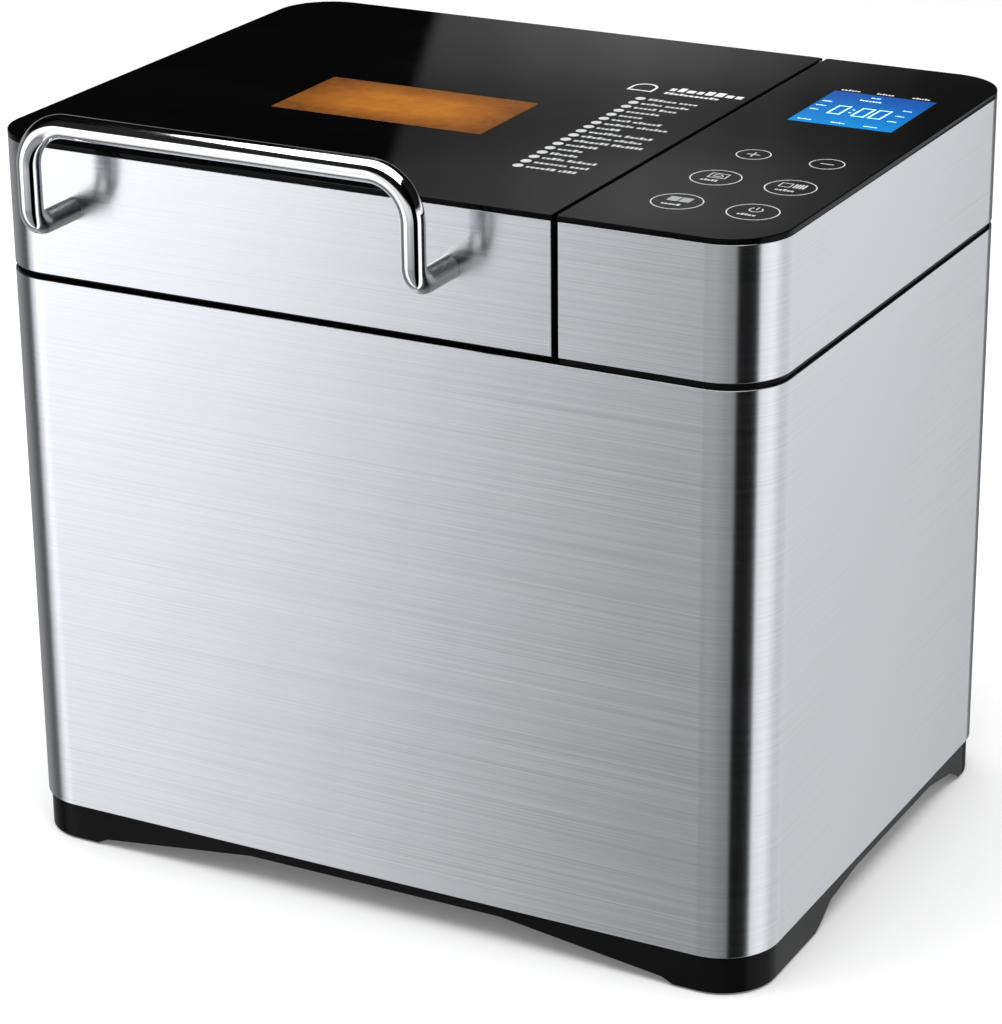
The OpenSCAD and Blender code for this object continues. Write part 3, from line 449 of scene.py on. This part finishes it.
class Marks:
    """Collects flat printed or raised marks into one closed mesh."""

    def __init__(self, low, high):
        self.low, self.high = low, high
        self.verts, self.faces = [], []

    def add(self, loops):
        """A flat shape with thickness; the first loop is its outline, the others are holes."""
        first = len(self.verts)
        count = sum(len(loop) for loop in loops)
        for z in (self.low, self.high):
            self.verts += [(x, y, z) for loop in loops for x, y in loop]
        top = caps(loops, first + count)
        self.faces += top
        self.faces += [tuple(i - count for i in reversed(f)) for f in top]
        start = first
        for loop in loops:
            n = len(loop)
            outward = turns_left(loop) == (loop is loops[0])
            for k in range(n):
                a, b = start + k, start + (k + 1) % n
                quad = (a, b, b + count, a + count)
                self.faces.append(quad if outward else tuple(reversed(quad)))
            start += n

    def bar(self, x0, x1, y0, y1):
        """A filled rectangle."""
        self.add([[(x0, y0), (x1, y0), (x1, y1), (x0, y1)]])

    def stroke(self, a, b, width):
        """A straight stroke between two points."""
        d = Vector((b[0] - a[0], b[1] - a[1])).normalized() * width / 2
        n = Vector((-d.y, d.x))
        start, end = Vector(a) - d, Vector(b) + d
        self.add([[tuple(p) for p in (start - n, end - n, end + n, start + n)]])

    def disc(self, x, y, r, count=24):
        """A filled circle."""
        self.add([ring_points(x, y, r, count)])

    def ring(self, x, y, r, width, count=48):
        """A circle's line; r is its outer radius."""
        self.add([ring_points(x, y, r, count), ring_points(x, y, r - width, count)])

    def arc(self, x, y, r, width, start, end, count=20):
        """Part of a ring, between two angles in degrees."""
        angles = [math.radians(start + (end - start) * k / count) for k in range(count + 1)]
        inside = r - width
        outer = [(x + r * math.cos(a), y + r * math.sin(a)) for a in angles]
        inner = [(x + inside * math.cos(a), y + inside * math.sin(a)) for a in reversed(angles)]
        self.add([outer + inner])

    def open_box(self, x0, x1, y0, y1, line):
        """An open rectangle of four bars."""
        self.bar(x0, x0 + line, y0, y1)
        self.bar(x1 - line, x1, y0, y1)
        self.bar(x0 + line, x1 - line, y0, y0 + line)
        self.bar(x0 + line, x1 - line, y1 - line, y1)

    def zero(self, x, y, width, height, line, slant):
        """A zero of six strokes; x, y is its lower left corner."""
        strokes = (
            ((0, 1), (1, 1)), ((1, 1), (1, 0.5)), ((1, 0.5), (1, 0)),
            ((0, 0), (1, 0)), ((0, 0.5), (0, 0)), ((0, 1), (0, 0.5)),
        )
        for stroke in strokes:
            start, end = [(x + (u + slant * v) * width, y + v * height) for u, v in stroke]
            self.stroke(start, end, line)

    def build(self, name, body, slot, material):
        """Makes the collected marks one piece."""
        return piece(name, self.verts, self.faces, body, slot, material=material)


def glass_plate(name, limits, radii, edge, z0, z1, body, replaces, hole=None):
    """A plate with rounded upper and lower edges, and a hole through it if hole is an outline."""
    x0, x1, y0, y1 = limits
    steps = 5
    rings = []
    for k in range(steps + 1):
        a = math.radians(90 * k / steps)
        rings.append((edge * (1 - math.sin(a)), z0 + edge * (1 - math.cos(a))))
    for k in range(steps + 1):
        a = math.radians(90 * k / steps)
        rings.append((edge * (1 - math.cos(a)), z1 - edge * (1 - math.sin(a))))
    verts, faces = [], []
    loops = []
    for inset, z in rings:
        loop = outline(x0 + inset, x1 - inset, y0 + inset, y1 - inset, [r - inset for r in radii])
        loops.append(loop)
        verts += [(x, y, z) for x, y in loop]
    n = len(loops[0])
    for i in range(len(rings) - 1):
        for k in range(n):
            a, b = i * n + k, i * n + (k + 1) % n
            faces.append((a, b, b + n, a + n))
    if hole is None:
        faces.append(tuple(reversed(range(n))))
        faces.append(tuple(range((len(rings) - 1) * n, len(rings) * n)))
    else:
        for z in (z0, z1):
            verts += [(x, y, z) for x, y in hole]
        h = len(hole)
        base = len(rings) * n
        for k in range(h):
            a, b = base + k, base + (k + 1) % h
            faces.append((b, a, a + h, b + h))
        for which, start, hole_start in ((0, 0, base), (-1, (len(rings) - 1) * n, base + h)):
            place = [start + k for k in range(n)] + [hole_start + k for k in range(h)]
            for tri in caps([loops[which], hole], 0):
                mapped = tuple(place[i] for i in tri)
                faces.append(mapped if which else tuple(reversed(mapped)))
    return piece(name, verts, faces, body, "black_glass", replaces, 50.0)


def sheet_wall(name, path, levels, thick, body, slot, replaces, closed=True, skip=None):
    """A thin wall that stands on a path, thickened inwards, with softened edges."""
    verts = [(x, y, z) for z in levels for x, y in path]
    n = len(path)
    faces = []
    for i in range(len(levels) - 1):
        for k in range(n if closed else n - 1):
            a, b = k, (k + 1) % n
            middle = ((path[a][0] + path[b][0]) / 2, (path[a][1] + path[b][1]) / 2)
            if skip and skip(*middle, (levels[i] + levels[i + 1]) / 2):
                continue
            faces.append((i * n + a, i * n + b, (i + 1) * n + b, (i + 1) * n + a))
    obj = piece(name, verts, faces, body, slot, replaces)
    thicken = obj.modifiers.new("thickness", "SOLIDIFY")
    thicken.thickness = thick
    thicken.offset = -1
    soften = obj.modifiers.new("edges", "BEVEL")
    soften.width = 0.25 * MM
    soften.segments = 2
    soften.limit_method = "ANGLE"
    soften.angle_limit = math.radians(50)
    weigh = obj.modifiers.new("normals", "WEIGHTED_NORMAL")
    weigh.keep_sharp = True
    return obj


def tube(name, path, r, body, slot, replaces, sides):
    """A round bar along a path of points, closed by flat ends."""
    points = [Vector(p) for p in path]
    n = len(points)
    tangents = []
    for i in range(n):
        before, after = points[max(i - 1, 0)], points[min(i + 1, n - 1)]
        tangents.append((after - before).normalized())
    side = tangents[0].orthogonal().normalized()
    verts, faces = [], []
    for p, t in zip(points, tangents):
        side = (side - t * side.dot(t)).normalized()
        up = t.cross(side)
        for k in range(sides):
            a = TAU * k / sides
            verts.append(p + (side * math.cos(a) + up * math.sin(a)) * r)
    for i in range(n - 1):
        for k in range(sides):
            a, b = i * sides + k, i * sides + (k + 1) % sides
            faces.append((a, b, b + sides, a + sides))
    faces.append(tuple(reversed(range(sides))))
    faces.append(tuple(range((n - 1) * sides, n * sides)))
    return piece(name, verts, faces, body, slot, replaces, 60.0)


def arc_points(centre, from_dir, to_dir, r, steps=12):
    """Points of a quarter arc about centre, from one unit direction to another."""
    c, a, b = Vector(centre), Vector(from_dir), Vector(to_dir)
    angles = [math.pi / 2 * k / steps for k in range(steps + 1)]
    return [c + (a * math.cos(t) + b * math.sin(t)) * r for t in angles]


# ---- the body's skin ----


def around_box(low, high, grow=0.0):
    """The plan limits of a box, grown on all sides."""
    return low.x - grow, high.x + grow, low.y - grow, high.y + grow


def steel_wrap():
    """The wrap of the lower body, with its cut-out behind the rear panel."""
    rear = wrap_high.y
    path = outline(*around_box(wrap_low, wrap_high), [CORNER] * 4, CORNER_STEPS)
    at_back = [i for i, p in enumerate(path) if p[1] > rear - 0.001 * MM]
    where = at_back[0] if path[at_back[0]][0] > 0 else at_back[-1]
    path[where + 1:where + 1] = [(REAR_HALF, rear), (-REAR_HALF, rear)]

    def in_cut_out(x, y, z):
        return y > rear - 0.1 * MM and abs(x) < REAR_HALF and REAR_LOW < z < REAR_HIGH

    levels = [wrap_low.z, REAR_LOW, REAR_HIGH, wrap_high.z]
    sheet_wall("steel_wrap", path, levels, SHEET, "base", "steel", ["body_wrap"], skip=in_cut_out)


def open_band(name, low, high, body, node, left):
    """Steel band round three sides of the lid or the head; it is open where the two meet."""
    x0, x1 = low.x, high.x
    radii = (BAND_END, BAND_END, CORNER, CORNER) if left else (CORNER, CORNER, BAND_END, BAND_END)
    path = outline(x0, x1, low.y, high.y, radii, CORNER_STEPS)
    half = 2 * (CORNER_STEPS + 1)
    if left:
        path = [(x1, high.y)] + path[half:] + [(x1, low.y)]
    else:
        path = [(x0, low.y)] + path[:half] + [(x0, high.y)]
    sheet_wall(name, path, [low.z, high.z], SHEET, body, "steel", [node], closed=False)


def top_panes():
    """The glass of the lid, with its window, and of the head."""
    hole = outline(*around_box(window_low, window_high, WINDOW_GAP), [1.5 * MM] * 4, 6)
    glass_plate(
        "lid_top_glass", around_box(lid_low, lid_high), (SHARP, SHARP, CORNER, CORNER), EDGE,
        lid_low.z, lid_high.z, "lid", ["lid_glass"], hole,
    )
    glass_plate(
        "head_top_glass", around_box(head_low, head_high), (CORNER, CORNER, SHARP, SHARP), EDGE,
        head_low.z, head_high.z, "base", ["head_glass"],
    )
    pane = glass_plate(
        "window_crust", around_box(window_low, window_high), [1.4 * MM] * 4, 0.4 * MM,
        window_low.z, window_high.z, "lid", ["window_pane"],
    )
    pane.data.materials[0] = MATERIALS["amber_glass"]


steel_wrap()
open_band("lid_steel", band_low, band_high, "lid", "lid_band", True)
open_band("head_steel", *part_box("head_band"), "base", "head_band", False)
top_panes()


# ---- handle ----


def handle():
    """The bent rod on the lid's front: two stubs, two legs and a bar."""
    face = band_low.y
    bar_y = rod_low.y + ROD_R
    bar_z = rod_high.z - ROD_R
    left = rod_low.x + ROD_R
    right = rod_high.x - ROD_R
    stub_z = rod_low.z + ROD_R
    low_bend, top_bend = 9 * MM, 19 * MM
    half = [Vector((left, face - 0.1 * MM, stub_z)), Vector((left, face - 8 * MM, stub_z))]
    half += arc_points((left, bar_y + low_bend, stub_z + low_bend), (0, 0, -1), (0, -1, 0), low_bend)
    half += arc_points((left + top_bend, bar_y, bar_z - top_bend), (-1, 0, 0), (0, 0, 1), top_bend, 20)
    mirrored = [Vector((left + right - p.x, p.y, p.z)) for p in reversed(half)]
    tube("handle_bar", half + mirrored, ROD_R, "lid", "chrome", ["handle_rod"], 48)


handle()


# ---- prints and display ----


def greeked(ink, rng, x, y, letters, height):
    """A word of plain blocks with no letter shapes; returns where it ends."""
    for _ in range(letters):
        width = height * rng.uniform(0.42, 0.68)
        tall = height * rng.choice((0.68, 0.68, 1.0))
        ink.bar(x, x + width, y, y + tall)
        x += width + height * 0.2
    return x


def list_print():
    """A column of dots with greeked labels."""
    rng = random.Random(5)
    y_top, y_low = MID_Y + 35.5 * MM, MID_Y - 79 * MM
    x_dot, x_label, x_end = 45.5 * MM, 49.5 * MM, 84 * MM
    dot_r, height, word_room, word_gap = 2.3 * MM, 2.9 * MM, 14 * MM, 1.2 * MM
    rows = 17
    ink = Marks(PRINT_LOW, PRINT_HIGH)
    for row in range(rows):
        y = y_top + (y_low - y_top) * row / (rows - 1)
        ink.disc(x_dot, y, dot_r)
        x = x_label
        for _ in range(rng.choice((1, 2, 2))):
            if x < x_end - word_room:
                x = greeked(ink, rng, x, y - 1.4 * MM, rng.randint(4, 7), height) + word_gap
    ink.build("lid_list", "lid", "black_glass", INK)
    heading_print(rng)


def heading_print(rng):
    """A loaf outline and two greeked lines above the list."""
    ink = Marks(PRINT_LOW, PRINT_HIGH)
    base = MID_Y + 47 * MM
    x, r, line = 39 * MM, 6 * MM, 1.1 * MM
    ink.arc(x, base + r, r, line, 0, 180)
    ink.bar(x - r, x - r + line, base + line, base + r)
    ink.bar(x + r - line, x + r, base + line, base + r)
    ink.bar(x - r, x + r, base, base + line)
    x_text = 51 * MM
    greeked(ink, rng, x_text, base + 5.5 * MM, 8, 6 * MM)
    greeked(ink, rng, x_text, base, 11, 3 * MM)
    ink.build("lid_heading", "lid", "black_glass", INK_BRIGHT)


KEY_LEFT, KEY_RIGHT = 125 * MM, 157.5 * MM
KEY_ROWS = [MID_Y + y * MM for y in (-23, -60, -96.5)]
KEY_LINE = 0.55 * MM
SMALL_KEY_R, LARGE_KEY_R = 7.4 * MM, 10.7 * MM


def plus_and_minus(ink):
    """The signs of the two small keys."""
    reach, line = 2.6 * MM, 0.7 * MM
    y = KEY_ROWS[0]
    ink.stroke((KEY_LEFT - reach, y), (KEY_LEFT + reach, y), line)
    ink.stroke((KEY_LEFT, y - reach), (KEY_LEFT, y - 0.5 * MM), line)
    ink.stroke((KEY_LEFT, y + 0.5 * MM), (KEY_LEFT, y + reach), line)
    ink.stroke((KEY_RIGHT - reach, y), (KEY_RIGHT + reach, y), line)


def loaf_size_sign(ink):
    """A frame with a small loaf in it."""
    x, y, line = KEY_LEFT, KEY_ROWS[1], 0.5 * MM
    half, loaf_r = 4 * MM, 2.2 * MM
    ink.open_box(x - half, x + half, y - line, y + 6 * MM, line)
    ink.arc(x, y + loaf_r, loaf_r, line, 0, 180)
    ink.bar(x - loaf_r, x + loaf_r, y + 1.2 * MM, y + 1.8 * MM)


def crust_sign(ink):
    """An open square and a hatched square."""
    y, shift, half, tall = KEY_ROWS[1], 3.1 * MM, 2.6 * MM, 5.4 * MM
    x = KEY_RIGHT - shift
    ink.open_box(x - half, x + half, y, y + tall, 0.5 * MM)
    x = KEY_RIGHT + shift
    for k in range(4):
        left = x - half + k * 1.35 * MM
        ink.bar(left, left + 0.9 * MM, y, y + tall)


def menu_sign(ink):
    """Two columns of lines."""
    half = 2.3 * MM
    for x in (KEY_LEFT - 2.6 * MM, KEY_LEFT + 2.6 * MM):
        for k in range(5):
            y = KEY_ROWS[2] + (0.3 + 1.2 * k) * MM
            ink.bar(x - half, x + half, y, y + 0.65 * MM)


def start_sign(ink):
    """A broken ring with a stroke."""
    y, line = KEY_ROWS[2], 0.6 * MM
    ink.arc(KEY_RIGHT, y + 3 * MM, 3 * MM, line, 125, 415)
    ink.stroke((KEY_RIGHT, y + 3.4 * MM), (KEY_RIGHT, y + 6.2 * MM), line)


def key_print():
    """Six touch keys: rings with plain signs, and a greeked caption in each large one."""
    rng = random.Random(8)
    ink = Marks(PRINT_LOW, PRINT_HIGH)
    for x in (KEY_LEFT, KEY_RIGHT):
        for y, r in zip(KEY_ROWS, (SMALL_KEY_R, LARGE_KEY_R, LARGE_KEY_R)):
            ink.ring(x, y, r, KEY_LINE)
    for sign in (plus_and_minus, loaf_size_sign, crust_sign, menu_sign, start_sign):
        sign(ink)
    for x in (KEY_LEFT, KEY_RIGHT):
        for y in KEY_ROWS[1:]:
            greeked(ink, rng, x - 4.8 * MM, y - 5.2 * MM, 5, 2.3 * MM)
    ink.build("key_print", "base", "black_glass", INK)


def display():
    """The lit panel, a reading of zeros, and greeked captions on it and above it."""
    x0, x1 = display_low.x + 4 * MM, display_high.x - 4 * MM
    y0, y1 = display_low.y + 4 * MM, display_high.y - 2 * MM
    rng = random.Random(3)
    panel = Marks(PRINT_LOW, PRINT_HIGH)
    panel.bar(x0, x1, y0, y1)
    panel.build("display_panel", "base", "display", MATERIALS["display"])
    lit = Marks(MARK_LOW, MARK_HIGH)
    reading(lit, x0 + 11 * MM, (y0 + y1) / 2 - 9 * MM)
    small, large = 1.2 * MM, 1.9 * MM
    for k in range(3):
        greeked(lit, rng, x0 + 1.5 * MM, y0 + (20 + k * 7) * MM, 5, small)
        greeked(lit, rng, x1 - 8 * MM, y0 + (15 + k * 9) * MM, 5, small)
        greeked(lit, rng, x0 + (3 + k * 15) * MM, y0 + 3.6 * MM, 7, small)
    greeked(lit, rng, x0 + 16 * MM, y1 - 11 * MM, 7, large)
    greeked(lit, rng, x0 + 19 * MM, y1 - 5.5 * MM, 5, small)
    lit.build("display_marks", "base", "display", LIT)
    sizes = Marks(PRINT_LOW, PRINT_HIGH)
    for k in range(3):
        greeked(sizes, rng, x0 + (2 + 16.5 * k) * MM, y1 + 2 * MM, 6, large)
    sizes.build("size_marks", "base", "black_glass", INK_BRIGHT)


def reading(ink, x, y):
    """Three zeros with a colon after the first."""
    tall, wide, line, slant = 13 * MM, 5.2 * MM, 0.8 * MM, 0.1
    ink.zero(x, y, wide, tall, line, slant)
    for k in (0.32, 0.68):
        ink.disc(x + 8.6 * MM, y + tall * k, 0.6 * MM, 12)
    for shift in (11 * MM, 18.6 * MM):
        ink.zero(x + shift, y, wide, tall, line, slant)


list_print()
key_print()
display()


# ---- CAD nodes that stay ----

REPLACED = {"body_wrap", "lid_band", "head_band", "lid_glass", "head_glass", "window_pane", "handle_rod"}


def finish_nodes():
    """Gives every CAD node its finish, and those that stay visible their sharp edges."""
    slots = {s["node"]: s["material_slot"] for s in frame["record"]["subparts"]}
    for name, obj in nodes.items():
        obj.data.materials.clear()
        obj.data.materials.append(MATERIALS[slots[name]])
        if name not in REPLACED:
            obj.data.set_sharp_from_angle(angle=math.radians(30))


finish_nodes()


# ---- stage, lights and camera ----

FLOOR_HALF = 7.0
FLOOR_GLOW = 0.12
# the point that the lights face, on the machine's axis
AIM = Vector((0, MID_Y, 0.2))


def floor():
    """A plain pale floor, which polished parts don't mirror."""
    mesh = bpy.data.meshes.new("floor")
    w = FLOOR_HALF
    mesh.from_pydata([(-w, -w, 0), (w, -w, 0), (w, w, 0), (-w, w, 0)], [], [(0, 1, 2, 3)])
    obj = bpy.data.objects.new("floor", mesh)
    scene.collection.objects.link(obj)
    m = Material("floor", (0.92, 0.92, 0.925), 0.9, 0.0, Specular_IOR_Level=0.0)
    m.set("Emission Color", (1, 1, 1, 1))
    m.set("Emission Strength", FLOOR_GLOW)
    mesh.materials.append(m.data)
    obj.visible_glossy = False


def around(azimuth, distance, height):
    """A place at an azimuth from the front, positive to the right."""
    a = math.radians(azimuth)
    return Vector((math.sin(a) * distance, MID_Y - math.cos(a) * distance, height))


def soft_light(name, azimuth, distance, height, size, watts, colour=(1, 1, 1)):
    """A soft box that points at the machine."""
    data = bpy.data.lights.new(name, "AREA")
    data.shape = "RECTANGLE"
    data.size, data.size_y = size
    data.energy = watts
    data.color = colour
    obj = bpy.data.objects.new(name, data)
    scene.collection.objects.link(obj)
    place = around(azimuth, distance, height)
    turn = (AIM - place).to_track_quat("-Z", "Y").to_matrix().to_4x4()
    obj.matrix_world = Matrix.Translation(place) @ turn
    return obj


class Sky:
    """The studio walls that polished parts mirror, as brightness by direction."""

    def __init__(self):
        self.world = bpy.data.worlds.new("studio")
        self.world.use_nodes = True
        self.tree = self.world.node_tree
        coords = self.tree.nodes.new("ShaderNodeTexCoord")
        split = self.tree.nodes.new("ShaderNodeSeparateXYZ")
        self.tree.links.new(coords.outputs["Generated"], split.inputs["Vector"])
        self.x, self.y, self.z = (split.outputs[axis] for axis in "XYZ")

    def calc(self, operation, a, b=0.0):
        """A math node; each value is a number or another node's output."""
        node = self.tree.nodes.new("ShaderNodeMath")
        node.operation = operation
        for socket, value in zip(node.inputs, (a, b)):
            if isinstance(value, (int, float)):
                socket.default_value = value
            else:
                self.tree.links.new(value, socket)
        return node.outputs[0]

    def spread(self, value, start, end, low, high):
        """Maps a value from start-end to low-high, eased and clamped."""
        node = self.tree.nodes.new("ShaderNodeMapRange")
        node.interpolation_type = "SMOOTHSTEP"
        for name, number in (("From Min", start), ("From Max", end), ("To Min", low), ("To Max", high)):
            node.inputs[name].default_value = number
        self.tree.links.new(value, node.inputs["Value"])
        return node.outputs["Result"]

    def ramp(self, value, stops, tint=(1.0, 1.0, 1.0)):
        """Brightness eased between stops of (value, grey), in the order of the values."""
        first, last = stops[0][0], stops[-1][0]
        node = self.tree.nodes.new("ShaderNodeValToRGB")
        node.color_ramp.interpolation = "EASE"
        band = node.color_ramp.elements
        while len(band) < len(stops):
            band.new(0.5)
        for element, (place, grey) in zip(band, stops):
            element.position = (place - first) / (last - first)
            element.color = (*(grey * part for part in tint), 1.0)
        along = self.calc("DIVIDE", self.calc("SUBTRACT", value, first), last - first)
        self.tree.links.new(along, node.inputs["Fac"])
        return node.outputs["Color"]

    def background(self, colour, strength):
        """Light of a colour and strength; each is a value or another node's output."""
        node = self.tree.nodes.new("ShaderNodeBackground")
        for socket, value in zip(node.inputs, (colour, strength)):
            if isinstance(value, (int, float, tuple)):
                socket.default_value = value
            else:
                self.tree.links.new(value, socket)
        return node.outputs["Background"]

    def choose(self, factor, a, b):
        """a where the factor is 0, b where it is 1."""
        node = self.tree.nodes.new("ShaderNodeMixShader")
        for socket, value in zip(node.inputs, (factor, a, b)):
            self.tree.links.new(value, socket)
        return node.outputs["Shader"]

    def add(self, a, b):
        """The sum of two lights."""
        node = self.tree.nodes.new("ShaderNodeAddShader")
        for socket, value in zip(node.inputs, (a, b)):
            self.tree.links.new(value, socket)
        return node.outputs["Shader"]


# Brightness of the mirrored walls, by azimuth in degrees from the front, positive to the right:
# first well below the horizon, then close to it. These stops and the card's were set by comparing
# the render's grey levels with the photograph's.
WALLS_LOW = (
    (-180, 0.12), (-150, 0.3), (-110, 0.25), (-72, 0.08), (-58, 0.6), (-48, 0.85), (-37, 0.81), (-33, 0.64),
    (-28, 0.29), (-24, 0.175), (-18, 0.22), (-8, 0.235), (25, 0.17), (31, 0.155), (37, 0.0), (70, 0.0),
    (79, 0.8), (100, 0.9), (127, 0.6), (145, 0.62), (157, 0.71), (159.5, 0.74), (163, 0.12), (180, 0.12),
)
WALLS_HIGH = (
    (-180, 0.12), (-150, 0.3), (-110, 0.25), (-72, 0.08), (-58, 1.2), (-48, 2.0), (-37, 1.9), (-33, 1.7),
    (-28, 1.02), (-24, 0.57), (-18, 0.64), (-8, 0.64), (25, 0.47), (31, 0.43), (37, 0.0), (70, 0.0),
    (79, 0.95), (100, 1.1), (127, 0.7), (145, 0.76), (157, 0.92), (159.5, 0.96), (163, 0.16), (180, 0.12),
)
WALL_TINT = (0.975, 0.985, 1.0)
WHITE = (1.0, 1.0, 1.0, 1.0)
# strength of the even light that rays other than the camera's and reflections meet
SOFT = 0.35
# A grey card behind the left rear corner, which the glass top mirrors: its leaning edge, and its
# brightness by azimuth and by elevation.
CARD_EDGE = -150.9
CARD_SLOPE = 0.36
CARD_ELEVATION = 13.7
CARD_ALONG = (
    (-162.0, 0.04), (-159.2, 0.13), (-158.6, 0.24), (-157.4, 0.44), (-156.2, 0.72), (-155.1, 0.92),
    (-154.3, 1.0), (-152.9, 0.8), (-151.6, 0.58), (-150.2, 0.45), (-148.0, 0.4),
)
CARD_UP = (
    (13.0, 0.36), (14.0, 0.34), (14.5, 0.28), (15.0, 0.17), (15.5, 0.15), (15.9, 0.17), (16.3, 0.25),
    (16.9, 0.27), (17.6, 0.2), (19.0, 0.16), (30.0, 0.12),
)


def studio():
    """A world that is white to the camera, walls and a card to reflections, and soft grey to the rest."""
    sky = Sky()
    turn = sky.calc("ARCTAN2", sky.x, sky.calc("MULTIPLY", sky.y, -1.0))
    azimuth = sky.calc("MULTIPLY", turn, 360 / TAU)
    elevation = sky.calc("MULTIPLY", sky.calc("ARCSINE", sky.z), 360 / TAU)
    below = sky.spread(sky.z, 0.0, 0.2, 1.4, 0.01)
    low_walls = sky.background(sky.ramp(azimuth, WALLS_LOW, WALL_TINT), below)
    high_walls = sky.background(sky.ramp(azimuth, WALLS_HIGH, WALL_TINT), below)
    walls = sky.choose(sky.spread(sky.z, -0.45, -0.1, 0.0, 1.0), low_walls, high_walls)
    lean = sky.calc("MULTIPLY", sky.calc("SUBTRACT", elevation, CARD_ELEVATION), CARD_SLOPE)
    offset = sky.calc("SUBTRACT", azimuth, sky.calc("ADD", lean, CARD_EDGE))
    inside = sky.spread(offset, -0.25, 0.05, 1.0, 0.0)
    limit = sky.spread(elevation, 4.0, 8.0, 0.0, 1.0)
    bright = sky.calc("MULTIPLY", sky.ramp(azimuth, CARD_ALONG), sky.ramp(elevation, CARD_UP))
    glow = sky.calc("MULTIPLY", sky.calc("MULTIPLY", inside, limit), bright)
    card = sky.background(WHITE, glow)
    mirrored = sky.add(walls, card)
    path = sky.tree.nodes.new("ShaderNodeLightPath")
    seen = sky.background(WHITE, 1.0)
    soft = sky.background(WHITE, SOFT)
    rest = sky.choose(path.outputs["Is Glossy Ray"], soft, mirrored)
    whole = sky.choose(path.outputs["Is Camera Ray"], rest, seen)
    sky.tree.links.new(whole, sky.tree.nodes["World Output"].inputs["Surface"])
    scene.world = sky.world


def lights():
    """One soft box above and one on each side; the side boxes don't show in reflections."""
    soft_light("top_box", 0, 0.3, 2.6, (3.0, 3.0), 84)
    left = soft_light("left_box", -62, 2.2, 1.0, (1.8, 2.2), 14, colour=(0.97, 0.985, 1.0))
    right = soft_light("right_box", 70, 2.2, 1.0, (1.8, 2.2), 8)
    left.visible_glossy = False
    right.visible_glossy = False


# the camera's place, its direction and roll in radians, and its lens and sensor in mm
CAMERA_PLACE = Vector((0.6874, -1.3005 + MID_Y, 0.7282))
CAMERA_AZIMUTH, CAMERA_ELEVATION, CAMERA_ROLL = 0.4899, 0.3807, -0.0105
CAMERA_LENS, CAMERA_SENSOR = 123.9, 36


def camera():
    """The camera at the photograph's viewing angle."""
    out = math.cos(CAMERA_ELEVATION)
    back = Vector((
        math.sin(CAMERA_AZIMUTH) * out, -math.cos(CAMERA_AZIMUTH) * out, math.sin(CAMERA_ELEVATION),
    ))
    right = (-back).cross(Vector((0, 0, 1))).normalized()
    up = right.cross(-back)
    rolled_right = right * math.cos(CAMERA_ROLL) + up * math.sin(CAMERA_ROLL)
    rolled_up = up * math.cos(CAMERA_ROLL) - right * math.sin(CAMERA_ROLL)
    turn = Matrix((rolled_right, rolled_up, back)).transposed().to_4x4()
    data = bpy.data.cameras.new("camera")
    data.lens = CAMERA_LENS
    data.sensor_width = CAMERA_SENSOR
    data.clip_end = 50
    obj = bpy.data.objects.new("camera", data)
    scene.collection.objects.link(obj)
    obj.matrix_world = Matrix.Translation(CAMERA_PLACE) @ turn
    scene.camera = obj
    scene.view_settings.view_transform = "Standard"


floor()
studio()
lights()
camera()
